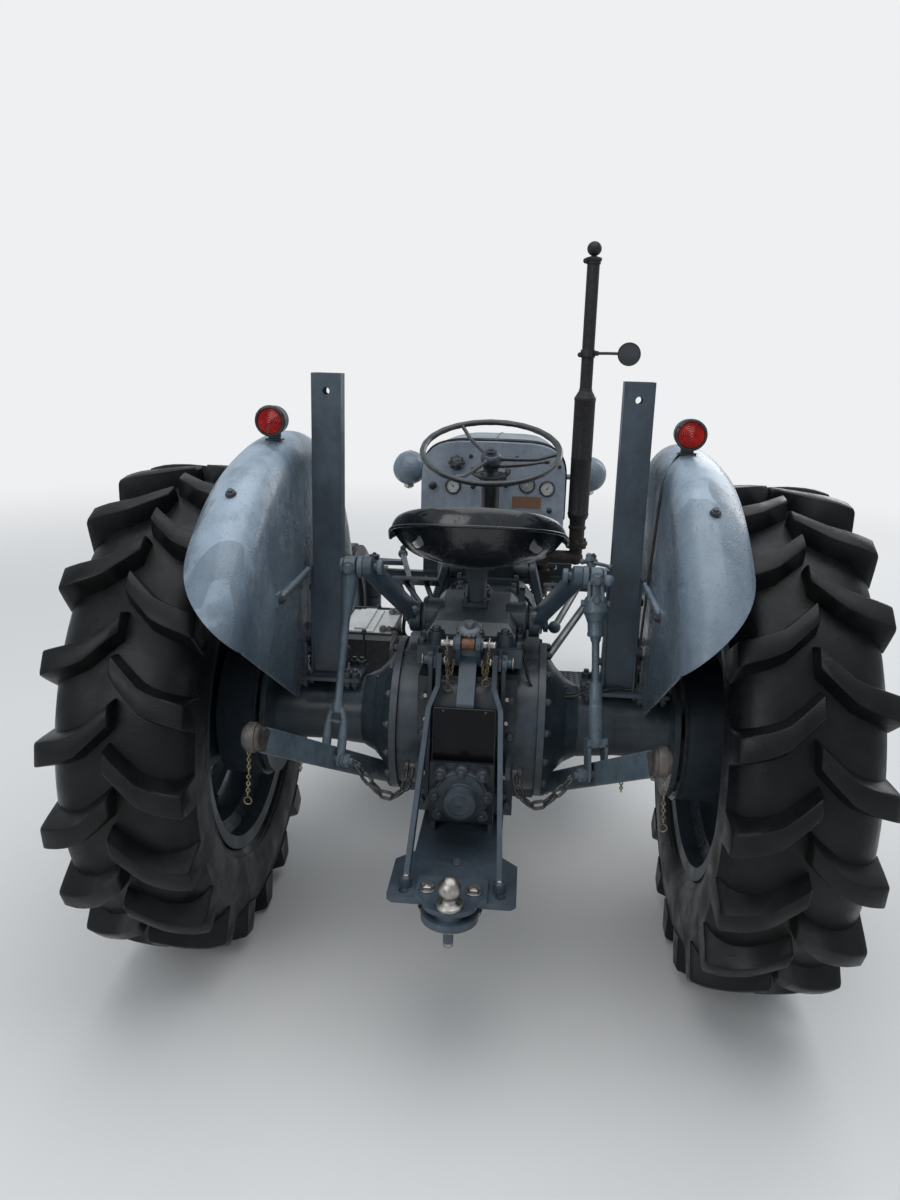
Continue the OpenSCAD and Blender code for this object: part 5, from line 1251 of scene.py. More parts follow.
def buildLeftRod():
    s = Shape()
    rodHead(s)
    s.revolve(headPoint, -rodUp, [(16, 0), (16, 19), (34, 20), (60, 17.5), (96, 13), (130, fork["rod"]),
                                  (rodLength - 140, fork["rod"]), (rodLength - 128, 13.5),
                                  (rodLength - 112, 13), (rodLength - 104, 0)], sides=32)
    for sign in (-1, 1):                      # the fork's two prongs and their cheeks
        out = forkSide(sign)
        side = fork["gap"] / 2 + 3.5
        top = footPoint + rodUp * 126
        path = [top, top + out * side * 0.62 - rodUp * 12, top + out * side * 0.95 - rodUp * 30,
                footPoint + out * side + rodUp * 60, footPoint + out * side + rodUp * 12]
        s.bent(path, 6, [7.5] * 13 + [8, 8.5, 9, 9.5, 10, 10.5, 11, 11, 11, 11, 11, 11], sides=14)
    s.rod(footPoint + forkSide(-18) + rodUp * 88, footPoint + forkSide(18) + rodUp * 88, 5, sides=14)
    forkFoot(s)
    flip(s, -1)
    obj = s.piece("liftRod_left", linkPaint, "lift_rod_left", smooth=40, slot="paint")
    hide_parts("lift_rod_left")


def buildRightRod():
    s = Shape()
    rodHead(s)
    box = [(14, 0), (14, 17), (40, 17), (42, 19), (50, 25.5), (56, 27), (70, 27.5), (74, 30), (82, 30),
           (86, 27), (92, 24), (104, 20.5), (106, 19), (128, 18.5), (131, 20), (138, 19.5), (140, 13.5),
           (150, 11.5), (152, 9.6)]
    thread = [(152 + 2 * k + (k % 2) * 0.6, 9.6 if k % 2 else 8.4) for k in range(1, 46)]
    sleeve = [(246, 9.6), (248, 13), (254, 15), (300, 15.8), (302, 17.5), (rodLength - 76, 18),
              (rodLength - 70, 17), (rodLength - 70, 0)]
    s.revolve(headPoint, -rodUp, box + thread + sleeve, sides=36)
    for sign in (-1, 1):                      # bolts and lumps round the box
        s.bolt(headPoint - rodUp * 62 + vec(sign * 24, 0, 0), (sign, 0, 0), 15, 8)
        s.rod(headPoint + vec(sign * 14, -18, -4), headPoint - rodUp * 52 + vec(sign * 16, -18, 0), 5,
              sides=12)
    s.ball(headPoint + vec(30, -20, -2), 14, sides=20)
    s.bolt(headPoint - rodUp * 46 + vec(0, -26, 0), -toFront, 15, 7)
    s.rod(headPoint - rodUp * 285 + vec(0, -17, 0), headPoint - rodUp * 285 + vec(0, 17, 0), 4.5, sides=12)
    for sign in (-1, 1):
        out = forkSide(sign)
        side = fork["gap"] / 2
        rings = []
        for t, half, thick in ((82, 13, 9), (70, 16, 8), (40, 16, 7), (14, 17, 7), (0, 17, 7)):
            c = footPoint + rodUp * t + out * side
            w = rodUp.cross(out).normalized() * half
            rings.append([c - w, c + w, c + w + out * thick, c - w + out * thick])
        s.rings(rings)
    s.rings([[footPoint + rodUp * t + forkSide(x) + rodUp.cross(forkSide(1)).normalized() * y for x, y in
              ((-24, -16), (24, -16), (24, 16), (-24, 16))] for t in (64, 84)])
    forkFoot(s)
    obj = s.piece("liftRod_right", linkPaint, "lift_rod_right", slot="paint")
    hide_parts("lift_rod_right")
    c = Shape()                               # levelling crank
    foot = headPoint - rodUp * 62 + vec(0, 24, 0)
    top = headPoint + vec(-14, 34, 34)
    c.rod(foot, top, 8, sides=20, chamfer=1)
    c.ball(foot, 14, sides=20)
    c.revolve(foot + (top - foot) * 0.6, top - foot, [(0, 8), (2, 12), (14, 12), (16, 8)], sides=24)
    c.bolt(top - (top - foot).normalized() * 4, top - foot, 20, 10, washer=False)
    c.ball(top + (top - foot).normalized() * 9, 8, sides=16)
    side = top + vec(-16, 4, -6)
    end = top + vec(50, 8, -17)
    c.bent([side, top + vec(12, 2, -8), top + vec(32, 5, -12), end], 6, 4.6, sides=12)
    for p in (side, end):
        c.ball(p, 7, sides=14)
    c.piece("levellingCrank", linkPaint, "lift_rod_right", smooth=40, slot="paint")


buildLeftRod()
buildRightRod()


def buildArmParts():
    s = Shape()
    tip = vec(linkage["tip"])
    s.revolve(tip + vec(-24, 0, 0), -toRight, [(0, 0), (0, 17), (3, 18), (11, 18), (13, 15), (13, 0)],
              sides=28)
    s.revolve(tip + vec(58, 0, 0), toRight, [(0, 10), (0, 18), (2, 19), (6, 19), (8, 17), (8, 0)], sides=28)
    s.rod(tip + vec(64, -16, 0), tip + vec(64, 16, 0), 2.4, sides=8)
    s.revolve(tip + vec(10, 0, 0), toRight, [(0, 24), (2, 26), (12, 26), (14, 24), (14, 10)], sides=32)
    s.revolve((168, 60, 874), toRight, [(0, 40), (1, 38), (4, 32), (4, 24), (9, 22), (9, 0)], sides=32)
    s.bolt((176, 60, 874), toRight, 27, 8)
    s.bolt((155, 20, 900), (0, -0.8, 0.6), 19, 12, shank=6)
    s.mirrored()
    s.piece("liftArmParts", linkPaint, "lift_arms", slot="paint")


buildArmParts()
print("lift rods done")

# Check chains between the housing and the links

chainRoute = [(127, -250, 588), (131, -256, 558), (143, -259, 529), (168, -259, 511), (198, -256, 516),
              (230, -251, 545), (262, -246, 584)]


def buildCheckChain(side, name):
    s = Shape()
    chainLinks(s, [vec(p) for p in chainRoute], 40, 13, 4.3)
    s.rod((110, -250, 588), (133, -250, 588), 8, sides=20, chamfer=1)
    s.bolt((131, -250, 588), toRight, 22, 9)
    outer = vec(chainRoute[-1])
    for y in (-9, 9):                         # shackle on the link's bar
        s.bent([outer + vec(-12, y * 0.5, -6), outer + vec(8, y, 4), footPoint + vec(-30, y, -4)], 5, 5,
               sides=10)
    flip(s, side)
    obj = s.piece("checkChain_" + name, chainSteel, None, smooth=60, slot="chain", weld=False)
    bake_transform(obj)
    return obj


chainPieces = onBothSides(buildCheckChain)
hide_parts("check_chains")
print("check chains done")

# Rocker of the top link with its pin, lynch pins and small chains

rocker = {"pin": (0, -202, 886), "cheek": 24}


def buildRocker():
    pin = vec(rocker["pin"])
    s = Shape()
    outline = [(-150.3, 830), (-180.3, 830), (-200, 848), (-224, 880), (-225, 893), (-217, 904), (-204, 909),
               (-190, 907), (-176, 898), (-150.3, 892)]
    boss = [(0, 9.6), (0, 17), (5, 16), (6, 15), (6, 9.6)]
    for sign in (-1, 1):
        x = sign * rocker["cheek"]
        s.rings([[(x + d, y, z) for y, z in outline] for d in (-6, 6)])
        s.revolve(pin + vec(x + sign * 6, 0, 0), (sign, 0, 0), boss, sides=32, closed=True)
    s.box((-30, -162, 835), (30, -150.3, 870))
    strip = [(-164, 866), (-186, 838), (-262, 757), (-261.5, 692)]      # flat bar down to the number plate
    s.rings([[(-21, y, z), (21, y, z), (21, y + 6, z + 2), (-21, y + 6, z + 2)] for y, z in strip])
    obj = s.piece("rocker", bodyPaint, bevel=1.5, slot="paint")
    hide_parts("top_link_rocker")
    d = Shape()                               # ridged spring adjuster over the rocker
    knob, lean = vec(0, -150, 893), vec(0, -0.42, 0.9)
    d.revolve(knob, lean, [(-10, 30), (0, 30), (4, 27), (6, 27), (9, 30), (22, 30), (27, 26), (29, 18),
                           (30, 12), (38, 11), (42, 8), (42, 0)], sides=48)
    for p in circle(knob + lean * 7, lean, 29.5, 16):
        d.rod(p, p + lean * 17, 3.4, sides=8, chamfer=1.5)
    d.bolts([(x, -118, 884) for x in (-26, 26)], toTop, across=15, head=7)
    d.piece("springAdjuster", adjusterPaint, smooth=40, slot="paint")
    r = Shape()
    r.rod(pin + vec(-17, 0, 0), pin + vec(17, 0, 0), 14, sides=28, chamfer=2)
    r.piece("rockerSleeve", bronze, smooth=40, slot="bronze")
    b = Shape()
    b.rod(pin + vec(-62, 0, 0), pin + vec(62, 0, 0), 9.4, sides=28, chamfer=2)
    for sign in (-1, 1):
        end = pin + vec(sign * 62, 0, 0)
        b.ball(end, 9.8, squash=(0.6, 1, 1), sides=20)
        b.rod(pin + vec(sign * 50, 0, -17), pin + vec(sign * 50, 0, 17), 3.2, sides=12)
        b.tube(hoop(pin + vec(sign * 50, 0, 0), 17, 28), 1.7, sides=8, closed=True)
    b.piece("rockerPin", ballSteel, smooth=45, slot="casting")
    c = Shape()
    for sign, drop in ((-1, 96), (1, 80)):
        x = sign * 50
        chainLinks(c, [pin + vec(x, -12, -14), pin + vec(x * 0.98, -15, -55), pin + vec(x * 0.9, -12, -drop)],
                   11, 4.4, 1.5)
        chainLinks(c, [pin + vec(x * 0.98, -8, -16), pin + vec(x * 0.9, -6, -60),
                       pin + vec(x * 0.78, -2, -74), pin + vec(x * 0.66, 6, -40)], 11, 4.4, 1.5)
        c.tube(circle(pin + vec(x * 0.9, -12, -drop - 10), toFront, 9, 20), 1.8, sides=8, closed=True)
    c.piece("rockerChains", brassChain, smooth=60, slot="chain", weld=False)


adjusterPaint = makePaint("adjusterPaint", (0.075, 0.092, 0.104), (0.150, 0.165, 0.172),
                          (0.030, 0.034, 0.036), (0.3, 0.5), rust=0.5, grain=0.7)
buildRocker()
print("rocker done")

# Hitch: nose plate, bolts, ball and the stays' ends

hitch = {"top": 420, "ball": (0, -580)}


def buildHitchParts():
    s = Shape()
    z = hitch["top"]
    arc = [(-58 * cos(pi * k / 20), -566 - 44 * sin(pi * k / 20)) for k in range(21)]
    nose = [(-78, -470), (-78, -548), (-66, -556)] + arc + [(66, -556), (78, -548), (78, -470)]
    s.rings([[(x, y, z + h) for x, y in nose] for h in (0.2, 11)])
    s.piece("nosePlate", bodyPaint, bevel=1.2, slot="dark_paint")
    b = Shape()
    for x in (-52, 48):                       # bolts through both plates
        b.rod((x, -522, z + 11), (x, -522, z + 14), 19, sides=32, chamfer=0.8)
        b.bolt((x, -522, z + 14), toTop, 27, 9, washer=False, shank=2)
        b.bolt((x, -522, z - 31), -toTop, 30, 14, shank=8)
    b.piece("hitchBolts", ballSteel, smooth=30, slot="casting")
    t = Shape()
    x, y = hitch["ball"]
    globe = [(41 - 25.5 * cos(radians(a)), 25.5 * sin(radians(a))) for a in range(43, 174, 10)]
    t.revolve((x, y, z + 11), toTop, [(0, 0), (0, 30.5), (2, 31), (5, 31), (7, 29), (8, 23), (11, 21),
                                      (13, 17.5), (16, 16.6), (20, 16.8)] + globe + [(66.6, 0)], sides=56)
    t.revolve((x, y, z - 32), -toTop, [(0, 0), (0, 20), (14, 20), (14, 11), (48, 11), (50, 9), (50, 0)],
              sides=6)
    t.rod((x, y, z - 46), (x, y, z - 86), 10.8, sides=28, chamfer=2)
    t.piece("towBall", ballSteel, smooth=50, slot="casting")
    e = Shape()                               # bright bolts and eyes of the stays
    for sign in (-1, 1):
        foot = vec(sign * 102, -498, z + 22.3)
        e.bolt(foot, toTop, 15, 5, shank=2)
        e.bolt((sign * 102, -498, z - 14), -toTop, 20, 10, shank=6)
        e.rod((sign * 56, -206, 845), (sign * 52, -206, 845), 12, sides=20)
        e.rod((sign * 104, -206, 845), (sign * 111, -206, 845), 6.5, sides=16, chamfer=2)
        e.tube(hoop(vec(sign * 107, -206, 845), 14, 22), 1.6, sides=8, closed=True)
        e.bolts([(sign * 97, -222, q) for q in (560, 700, 760)], -toFront, across=10, head=4, washer=False)
    e.piece("stayBolts", ballSteel, slot="casting")
    k = Shape()
    for sign in (-1, 1):
        for x, y in ((66, -212), (88, -206)):
            k.collar((sign * x - 6, y, 845), toRight, 9.2, 19, 12, 1, sides=28)
        k.box((sign * 90 - 14, -218, 500), (sign * 90 + 14, -206, 514))
    k.piece("stayEyes", bodyPaint, bevel=0.6, slot="paint")


buildHitchParts()


plate = {"mid": (0, -262.2, 679.5), "halfWidth": 75, "halfHeight": 70, "thick": 3.6}


def buildPlate():
    s = Shape()
    basis = Matrix.Translation(plate["mid"]) @ Matrix.Rotation(pi / 2, 4, "X")
    halfW, halfH = plate["halfWidth"], plate["halfHeight"]
    s.slab(roundedOutline(halfW, halfH, 6), plate["thick"], basis)
    obj = s.piece("numberPlate", plateBlack, bevel=0.8, smooth=40, slot="black")
    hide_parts("number_plate")
    r = Shape()
    outline = [basis @ vec(x, y, plate["thick"] + 0.6) for x, y in roundedOutline(halfW - 2, halfH - 2, 5)]
    r.tube(outline, 1.5, sides=6, closed=True)
    for x in (-50, 50):
        r.revolve((x, -265.6, 740), -toFront, [(0, 5), (1.5, 4.6), (2.6, 2.6), (2.8, 0)], sides=16)
    r.piece("plateEdge", blackPaint, smooth=50, slot="black")


buildPlate()
print("hitch done")

# Exhaust and mirror

stack = {"x": 303, "y": 1005, "pipe": 21, "foot": 900, "top": 1860}


def buildStack():
    s = Shape()
    x, y, r = stack["x"], stack["y"], stack["pipe"]
    height = stack["top"] - stack["foot"]
    s.revolve((x, y, stack["foot"]), toTop, [(0, 0), (0, 27), (52, 27), (56, 31), (64, 31), (66, 27.5),
                                             (86, 28), (96, 35), (104, 36), (106, 37.2), (112, 37.2),
                                             (114, 36), (300, 36), (302, 36.6), (306, 36.6), (308, 36),
                                             (500, 36), (503, 37.2), (511, 37.2), (514, 35), (530, 26),
                                             (534, r + 2), (540, r + 2), (542, r), (953, r), (955, r + 5),
                                             (961, r + 5), (963, r), (height, r), (height, r - 3),
                                             (940, r - 3)], sides=56)
    s.tube([(x + 0.4, y - 36.4, 1010 + 385 * k / 6) for k in range(7)], 1.6, sides=6)
    for z in (1545, 1846):                    # clamps with their bolts
        s.collar((x, y, z), toTop, r, r + 3, 18, sides=48)
        for lug in (y - 9, y + 3):
            s.box((x - 30, lug, z + 2), (x - 20, lug + 6, z + 16))
        s.rod((x - 27, y - 14, z + 9), (x - 27, y + 14, z + 9), 3.6, sides=12)
        s.bolt((x - 27, y - 9, z + 9), -toFront, 13, 6)
    s.collar((x, y, stack["foot"] - 2), toTop, 24, 40, 10)
    s.bolts([(x + 32 * cos(a), y + 32 * sin(a), 908) for a in (0.6, 2.5, 4.6)], toTop, across=15, head=8)
    obj = s.piece("exhaustStack", stackPaint, smooth=38, slot="dark_paint")
    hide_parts("exhaust")
    c = Shape()                               # ball weight and hinge of the rain cap
    c.ball((x, y, 1894), 24, squash=(1, 1, 0.98), sides=32)
    c.rod((x, y, 1859), (x, y, 1874), 14, 8, sides=24)
    c.revolve((x, y, 1858), toTop, [(0, 0), (0, 26), (3, 28), (8, 26), (12, 12), (12, 0)], sides=40)
    c.piece("rainCap", stackPaint, smooth=45, slot="dark_paint")


stackPaint = makeMetal("stackPaint", (0.020, 0.019, 0.019), (0.011, 0.010, 0.010), 0.12, (0.5, 0.75),
                       metal=0.2)
buildStack()


mirror = {"mid": (436, 950, 1560), "radius": 37}


def buildMirror():
    s, g = Shape(), Shape()
    mid, r = vec(mirror["mid"]), mirror["radius"]
    s.collar((stack["x"], stack["y"], 1549), toTop, 21.3, 25.5, 22)
    s.box((321, 990, 1552), (338, 1012, 1568))
    s.bolt((330, 990, 1560), -toFront, 13, 6)
    s.bent([(330, 1000, 1560), (370, 990, 1561), (406, 982, 1561), (428, 976, 1560)], 6, 5, sides=12)
    s.ball((430, 977, 1560), 10, sides=20)
    rim = [(0, r), (-2, r + 1.5), (-3.5, r + 0.5), (-3.5, r - 3), (0, r - 3)]
    s.revolve(mid, toFront, rim, sides=56, closed=True)
    back = [(0, r + 0.5), (8, r), (16, r - 5), (22, r - 15), (26, r - 27), (26, 0)]
    s.revolve(mid, toFront, back, sides=56)
    obj = s.piece("mirror", blackPaint, smooth=40, slot="black")
    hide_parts("rear_mirror")
    g.revolve(mid + vec(0, -1.6, 0), -toFront, [(0, r - 2), (0.6, r - 17), (0.8, 0)], sides=48)
    g.piece("mirrorFace", mirrorGlass, smooth=60, slot="black")


buildMirror()
print("exhaust and mirror done")

# Battery with its cover strip, terminals and holder

battery = {"low": (-487.5, 650, 420.3), "high": (-312.5, 950, 635)}


def buildBattery():
    (x0, y0, z0), (x1, y1, z1) = battery["low"], battery["high"]
    s = Shape().box((x0 + 2, y0 + 2, z0), (x1 - 2, y1 - 2, z1 - 22))
    for k in range(9):                        # ribs of the case
        y = y0 + 22 + k * (y1 - y0 - 50) / 8
        s.box((x0, y, z0 + 16), (x1, y + 6, z1 - 60))
    obj = s.piece("batteryCase", boxPlastic, bevel=1.6, slot="case")
    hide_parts("battery")
    t = Shape().box((x0, y0, z1 - 24), (x1, y1, z1 - 3))
    t.box((x0 + 26, y0 + 14, z1 - 4), (x1 - 62, y1 - 14, z1 + 4))
    t.box((x0 + 48, y0 + 28, z1 + 3), (x0 + 88, y1 - 28, z1 + 11))
    t.piece("batteryTop", palePlastic, bevel=1.6, slot="case")
    c = Shape()
    for y in (y0 + 40, y1 - 40):              # posts with clamps and leads
        c.rod((x1 - 30, y, z1 - 4), (x1 - 30, y, z1 + 18), 8.5, 7.5, sides=20)
        c.collar((x1 - 30, y, z1 + 1), toTop, 8, 14, 12, sides=20)
        c.box((x1 - 18, y - 8, z1 + 1), (x1 - 2, y + 8, z1 + 12))
        c.bolt((x1 - 10, y, z1 + 12), toTop, 10, 5, washer=False)
    c.piece("batteryTerminals", wornSteel, slot="casting")
    w = Shape()
    w.bent([(x1 - 4, y1 - 40, z1 + 7), (x1 + 13, y1 - 43, z1 - 2), (x1 + 16, y1 - 50, 560),
            (-230, y1 - 45, 526), (-140, y1 - 35, 520)], 8, 6.5, sides=10)
    w.bent([(x1 - 4, y0 + 40, z1 + 7), (x1 + 24, y0 + 44, z1 + 2), (x1 + 60, y0 + 60, 560),
            (-135, y0 + 60, 520)], 8, 6.5, sides=10)
    w.piece("batteryLeads", leadCovering, smooth=60, slot="black")
    h = Shape()                               # holding frame
    for x in (x0 - 7, x1 + 1):
        h.box((x, y0 - 6, z1 - 2), (x + 6, y1 + 6, z1 + 6))
    for y in (y0 - 12, y1 + 4):
        h.box((x0 - 7, y, z1 - 2), (x1 + 7, y + 8, z1 + 6))
        h.rod((-400, y + 4, z0 - 4), (-400, y + 4, z1 + 16), 4, sides=12)
        h.bolt((-400, y + 4, z1 + 6), toTop, 14, 7)
    h.piece("batteryFrame", wheelPaint, bevel=0.8, slot="dark_paint")


buildBattery()

# Footplates' treads and pedal pads

footplate = {"x": (205, 420), "y": (560, 1000), "top": 420}


def buildFootDetails():
    (x0, x1), y0, z = footplate["x"], footplate["y"][0], footplate["top"]
    s = Shape()
    for i in range(10):                       # pressed dimples on the right
        for k in range(22):
            m = Matrix.Translation((x0 + 18 + i * 20, y0 + 12 + k * 20 - (i % 2) * 10, z))
            ring = [(6.5 * cos(tau * q / 8), 3.5 * sin(tau * q / 8)) for q in range(8)]
            s.rings([[m @ vec(u * w, v * w, h) for u, v in ring] for w, h in ((1, 0), (0.75, 2), (0.5, 2.2))])
    for k in range(17):                       # ribs on the left
        s.box((-x1 + 12, y0 + 14 + k * 26, z), (-x0 - 10, y0 + 20 + k * 26, z + 2.5))
    for x in (-170, 170, -380, 380):
        for y in (620, 840):
            s.bolt((x, y, 438 if abs(x) < 200 else z), toTop, 17, 8)
    s.piece("footTreads", wheelPaint, slot="dark_paint", weld=False)
    t = Shape()
    turn = Matrix.Rotation(radians(-28), 4, "X")
    for x in (-205, -275, 230):
        m = Matrix.Translation((x, 745, 800)) @ turn
        for k in range(6):
            t.rings([[m @ vec(u, v, h) for u, v in ((-38, -33 + k * 12.4), (38, -33 + k * 12.4),
                                                    (38, -28 + k * 12.4), (-38, -28 + k * 12.4))]
                     for h in (3.5, 7)])
        t.box((x - 8, 741, 786), (x + 8, 753, 798))
    for x, sign in ((-188, -1), (164, 1)):
        t.bolt((x, 470, 520), (sign, 0, 0), 22, 9, shank=4)
    t.piece("pedalTreads", blackPaint, bevel=0.8, slot="black", weld=False)


buildFootDetails()
print("battery and foot details done")

# Engine: bolts, plugs and leads, pipes, belt and manifold studs

engine = {"rear": 1040, "front": 1600, "head": 900}


def buildEngineDetails():
    rear, front, head = engine["rear"], engine["front"], engine["head"]
    b = Shape()
    for k in range(6):
        y = rear + 45 + k * 92
        b.bolts([(x, y, head) for x in (-92, 88)], toTop, across=19, head=10, shank=5)
    for k in range(11):
        b.bolts([(x, rear + 25 + k * 46, 501) for x in (-110, 110)], toTop, across=14, head=7)
    for y in (rear + 90, rear + 230, front - 90):
        b.bolt((-10, y, 974), toTop, 19, 12, shank=4)
    for z in (560, 650, 740):
        b.bolts([(x, front - 1, z) for x in (-98, 98)], toFront, across=19, head=10)
    for port in (70, 200, 340, 470):
        for shift in (-27, 27):
            b.bolt((119, rear + port + shift, 850), toRight, 15, 8, shank=7)
    for y in (560, 690, 820, 960):            # clutch housing and gearbox flanges
        for x in (-1, 1):
            b.bolt((x * 150, 313, 430 + (y - 560) * 0.75), (x, 0, 0), 19, 8)
    for k in range(10):
        a = radians(40 * k - 80 if k < 9 else 300)
        b.bolt((176 * cos(a), 884, 600 + 176 * sin(a)), -toFront, 17, 8)
    b.bolts([(x, y, 794) for x in (-88, 88) for y in (450, 560, 690, 760)], toTop, across=17, head=8)
    b.bolts([(x, y, 812) for x in (-95, 95) for y in (800, 905)], toTop, across=17, head=8)
    b.piece("engineBolts", wheelPaint, smooth=30, slot="paint")
    c = Shape()
    for y in (rear + 90, rear + 240, rear + 390):          # core plugs and ribs of the block
        for x in (-1, 1):
            c.revolve((x * 119, y, 640), (x, 0, 0), [(0, 26), (3, 26), (4, 23), (2, 20), (1, 0)], sides=32)
    for x in (-1, 1):
        c.box((x * 120 - 3, rear + 6, 712), (x * 120 + 3, front - 6, 722))
        c.box((x * 105 - 4, rear + 20, 892), (x * 105 + 4, front - 20, 900))
    c.box((-86, rear + 46, 900), (66, front - 46, 908))
    c.revolve((-10, front - 130, 980), toTop, [(0, 24), (10, 24), (12, 28), (22, 28), (25, 24), (25, 0)],
              sides=32)
    c.revolve((-150, front - 60, 600), toFront, [(0, 0), (0, 42), (6, 44), (96, 44), (100, 40), (100, 0)],
              sides=32)
    c.bent([(-118, rear + 160, 560), (-140, rear + 160, 600), (-142, rear + 160, 700)], 6, 5, sides=10)
    c.piece("enginePlugs", castPaintDarkForShade, bevel=1, slot="paint")
    p, w = Shape(), Shape()
    cap = vec(-165, rear + 80, 878)
    for k in range(4):
        plug = vec(-106, rear + 110 + k * 115, 850)
        p.rod(plug, plug + vec(-24, 0, 6), 9, sides=16)
        p.bolt(plug + vec(-24, 0, 6), (-1, 0, 0.25), 17, 8, washer=False)
        p.rod(plug + vec(-30, 0, 8), plug + vec(-58, 0, 15), 7, 4, sides=16)
        a = tau * k / 4 + 0.6
        tower = cap + vec(20 * cos(a), 20 * sin(a), 0)
        w.rod(tower - vec(0, 0, 6), tower + vec(0, 0, 12), 6, sides=14)
        w.bent([tower + vec(0, 0, 10), tower + vec(-6, 12 + 4 * k, 34), plug + vec(-84, -30, 52),
                plug + vec(-66, -2, 18), plug + vec(-56, 0, 14)], 8, 3.6)
    w.bent([cap + vec(0, 0, 10), cap + vec(-10, -24, 40), (-150, rear + 20, 930), (-100, 990, 950)], 8, 3.6)
    p.piece("sparkPlugs", palePlastic, slot="casting")
    w.piece("plugLeads", leadCovering, smooth=60, slot="black")
    k = Shape()                               # belt round the pulleys, and the water hoses
    wheels = [(0, 875, 64), (-190, 770, 44), (0, 600, 70)]  # fan, dynamo and crankshaft: x, z, radius
    ring = []
    for i, (x, z, r) in enumerate(wheels):
        ax, az, _ = wheels[i - 1]
        bx, bz, _ = wheels[(i + 1) % 3]
        first = atan2(z - az, x - ax) + pi / 2
        last = atan2(bz - z, bx - x) + pi / 2
        turn = (last - first) % tau
        for q in range(9):
            a = first - pi + turn * q / 8
            ring.append((x + r * cos(a), front + 20, z + r * sin(a)))
    k.tube(ring, 7, sides=8, closed=True, flat=0.8)
    k.bent([(0, 1568, 918), (0, 1580, 985), (0, 1640, 1050), (0, 1745, 1086)], 8, 20, sides=20)
    k.bent([(60, 1580, 700), (90, 1640, 690), (100, 1700, 735), (100, 1745, 765)], 8, 20, sides=20)
    k.piece("beltAndHoses", softRubber, smooth=50, slot="black")
    h = Shape()
    h.revolve((0, front + 2, 600), toFront, [(0, 66), (6, 74), (10, 74), (18, 62), (26, 74), (30, 74),
                                             (36, 66), (36, 0)], sides=48)
    h.revolve((-190, front - 6, 770), toFront, [(0, 30), (8, 48), (12, 48), (20, 38), (26, 48), (30, 48),
                                                (34, 34), (34, 0)], sides=40)
    for place, axis in (((0, 1571, 932), toTop), ((0, 1735, 1082), (0, 0.95, 0.3)),
                        ((62, 1583, 699), (0.3, 0.95, 0))):
        h.collar(place, axis, 20.5, 22.5, 10, sides=32)
    h.bent([(190, 1300, 700), (150, 1280, 680), (146, 1180, 720), (120, 1120, 960), (80, 1110, 1000)], 8, 4)
    h.revolve((190, 1300, 660), -toTop, [(0, 26), (4, 28), (34, 26), (40, 14), (42, 0)], sides=32)
    h.bent([(205, 1310, 742), (240, 1200, 760), (230, 1060, 820), (180, 1000, 900)], 6, 3)
    h.piece("pulleysAndPipes", blackPaint, smooth=40, slot="black")


buildEngineDetails()
print("engine details done")

# Radiator fins, headlamp glasses, gear lever, front axle details

radiator = {"rear": 1735, "front": 1805, "half": 185, "low": 780, "high": 1050, "fins": 46, "bars": 14}
headlamp = {"x": 368, "y": 1549, "z": 1085}
frontAxle = {"kingpin": 555, "nutX": 425}


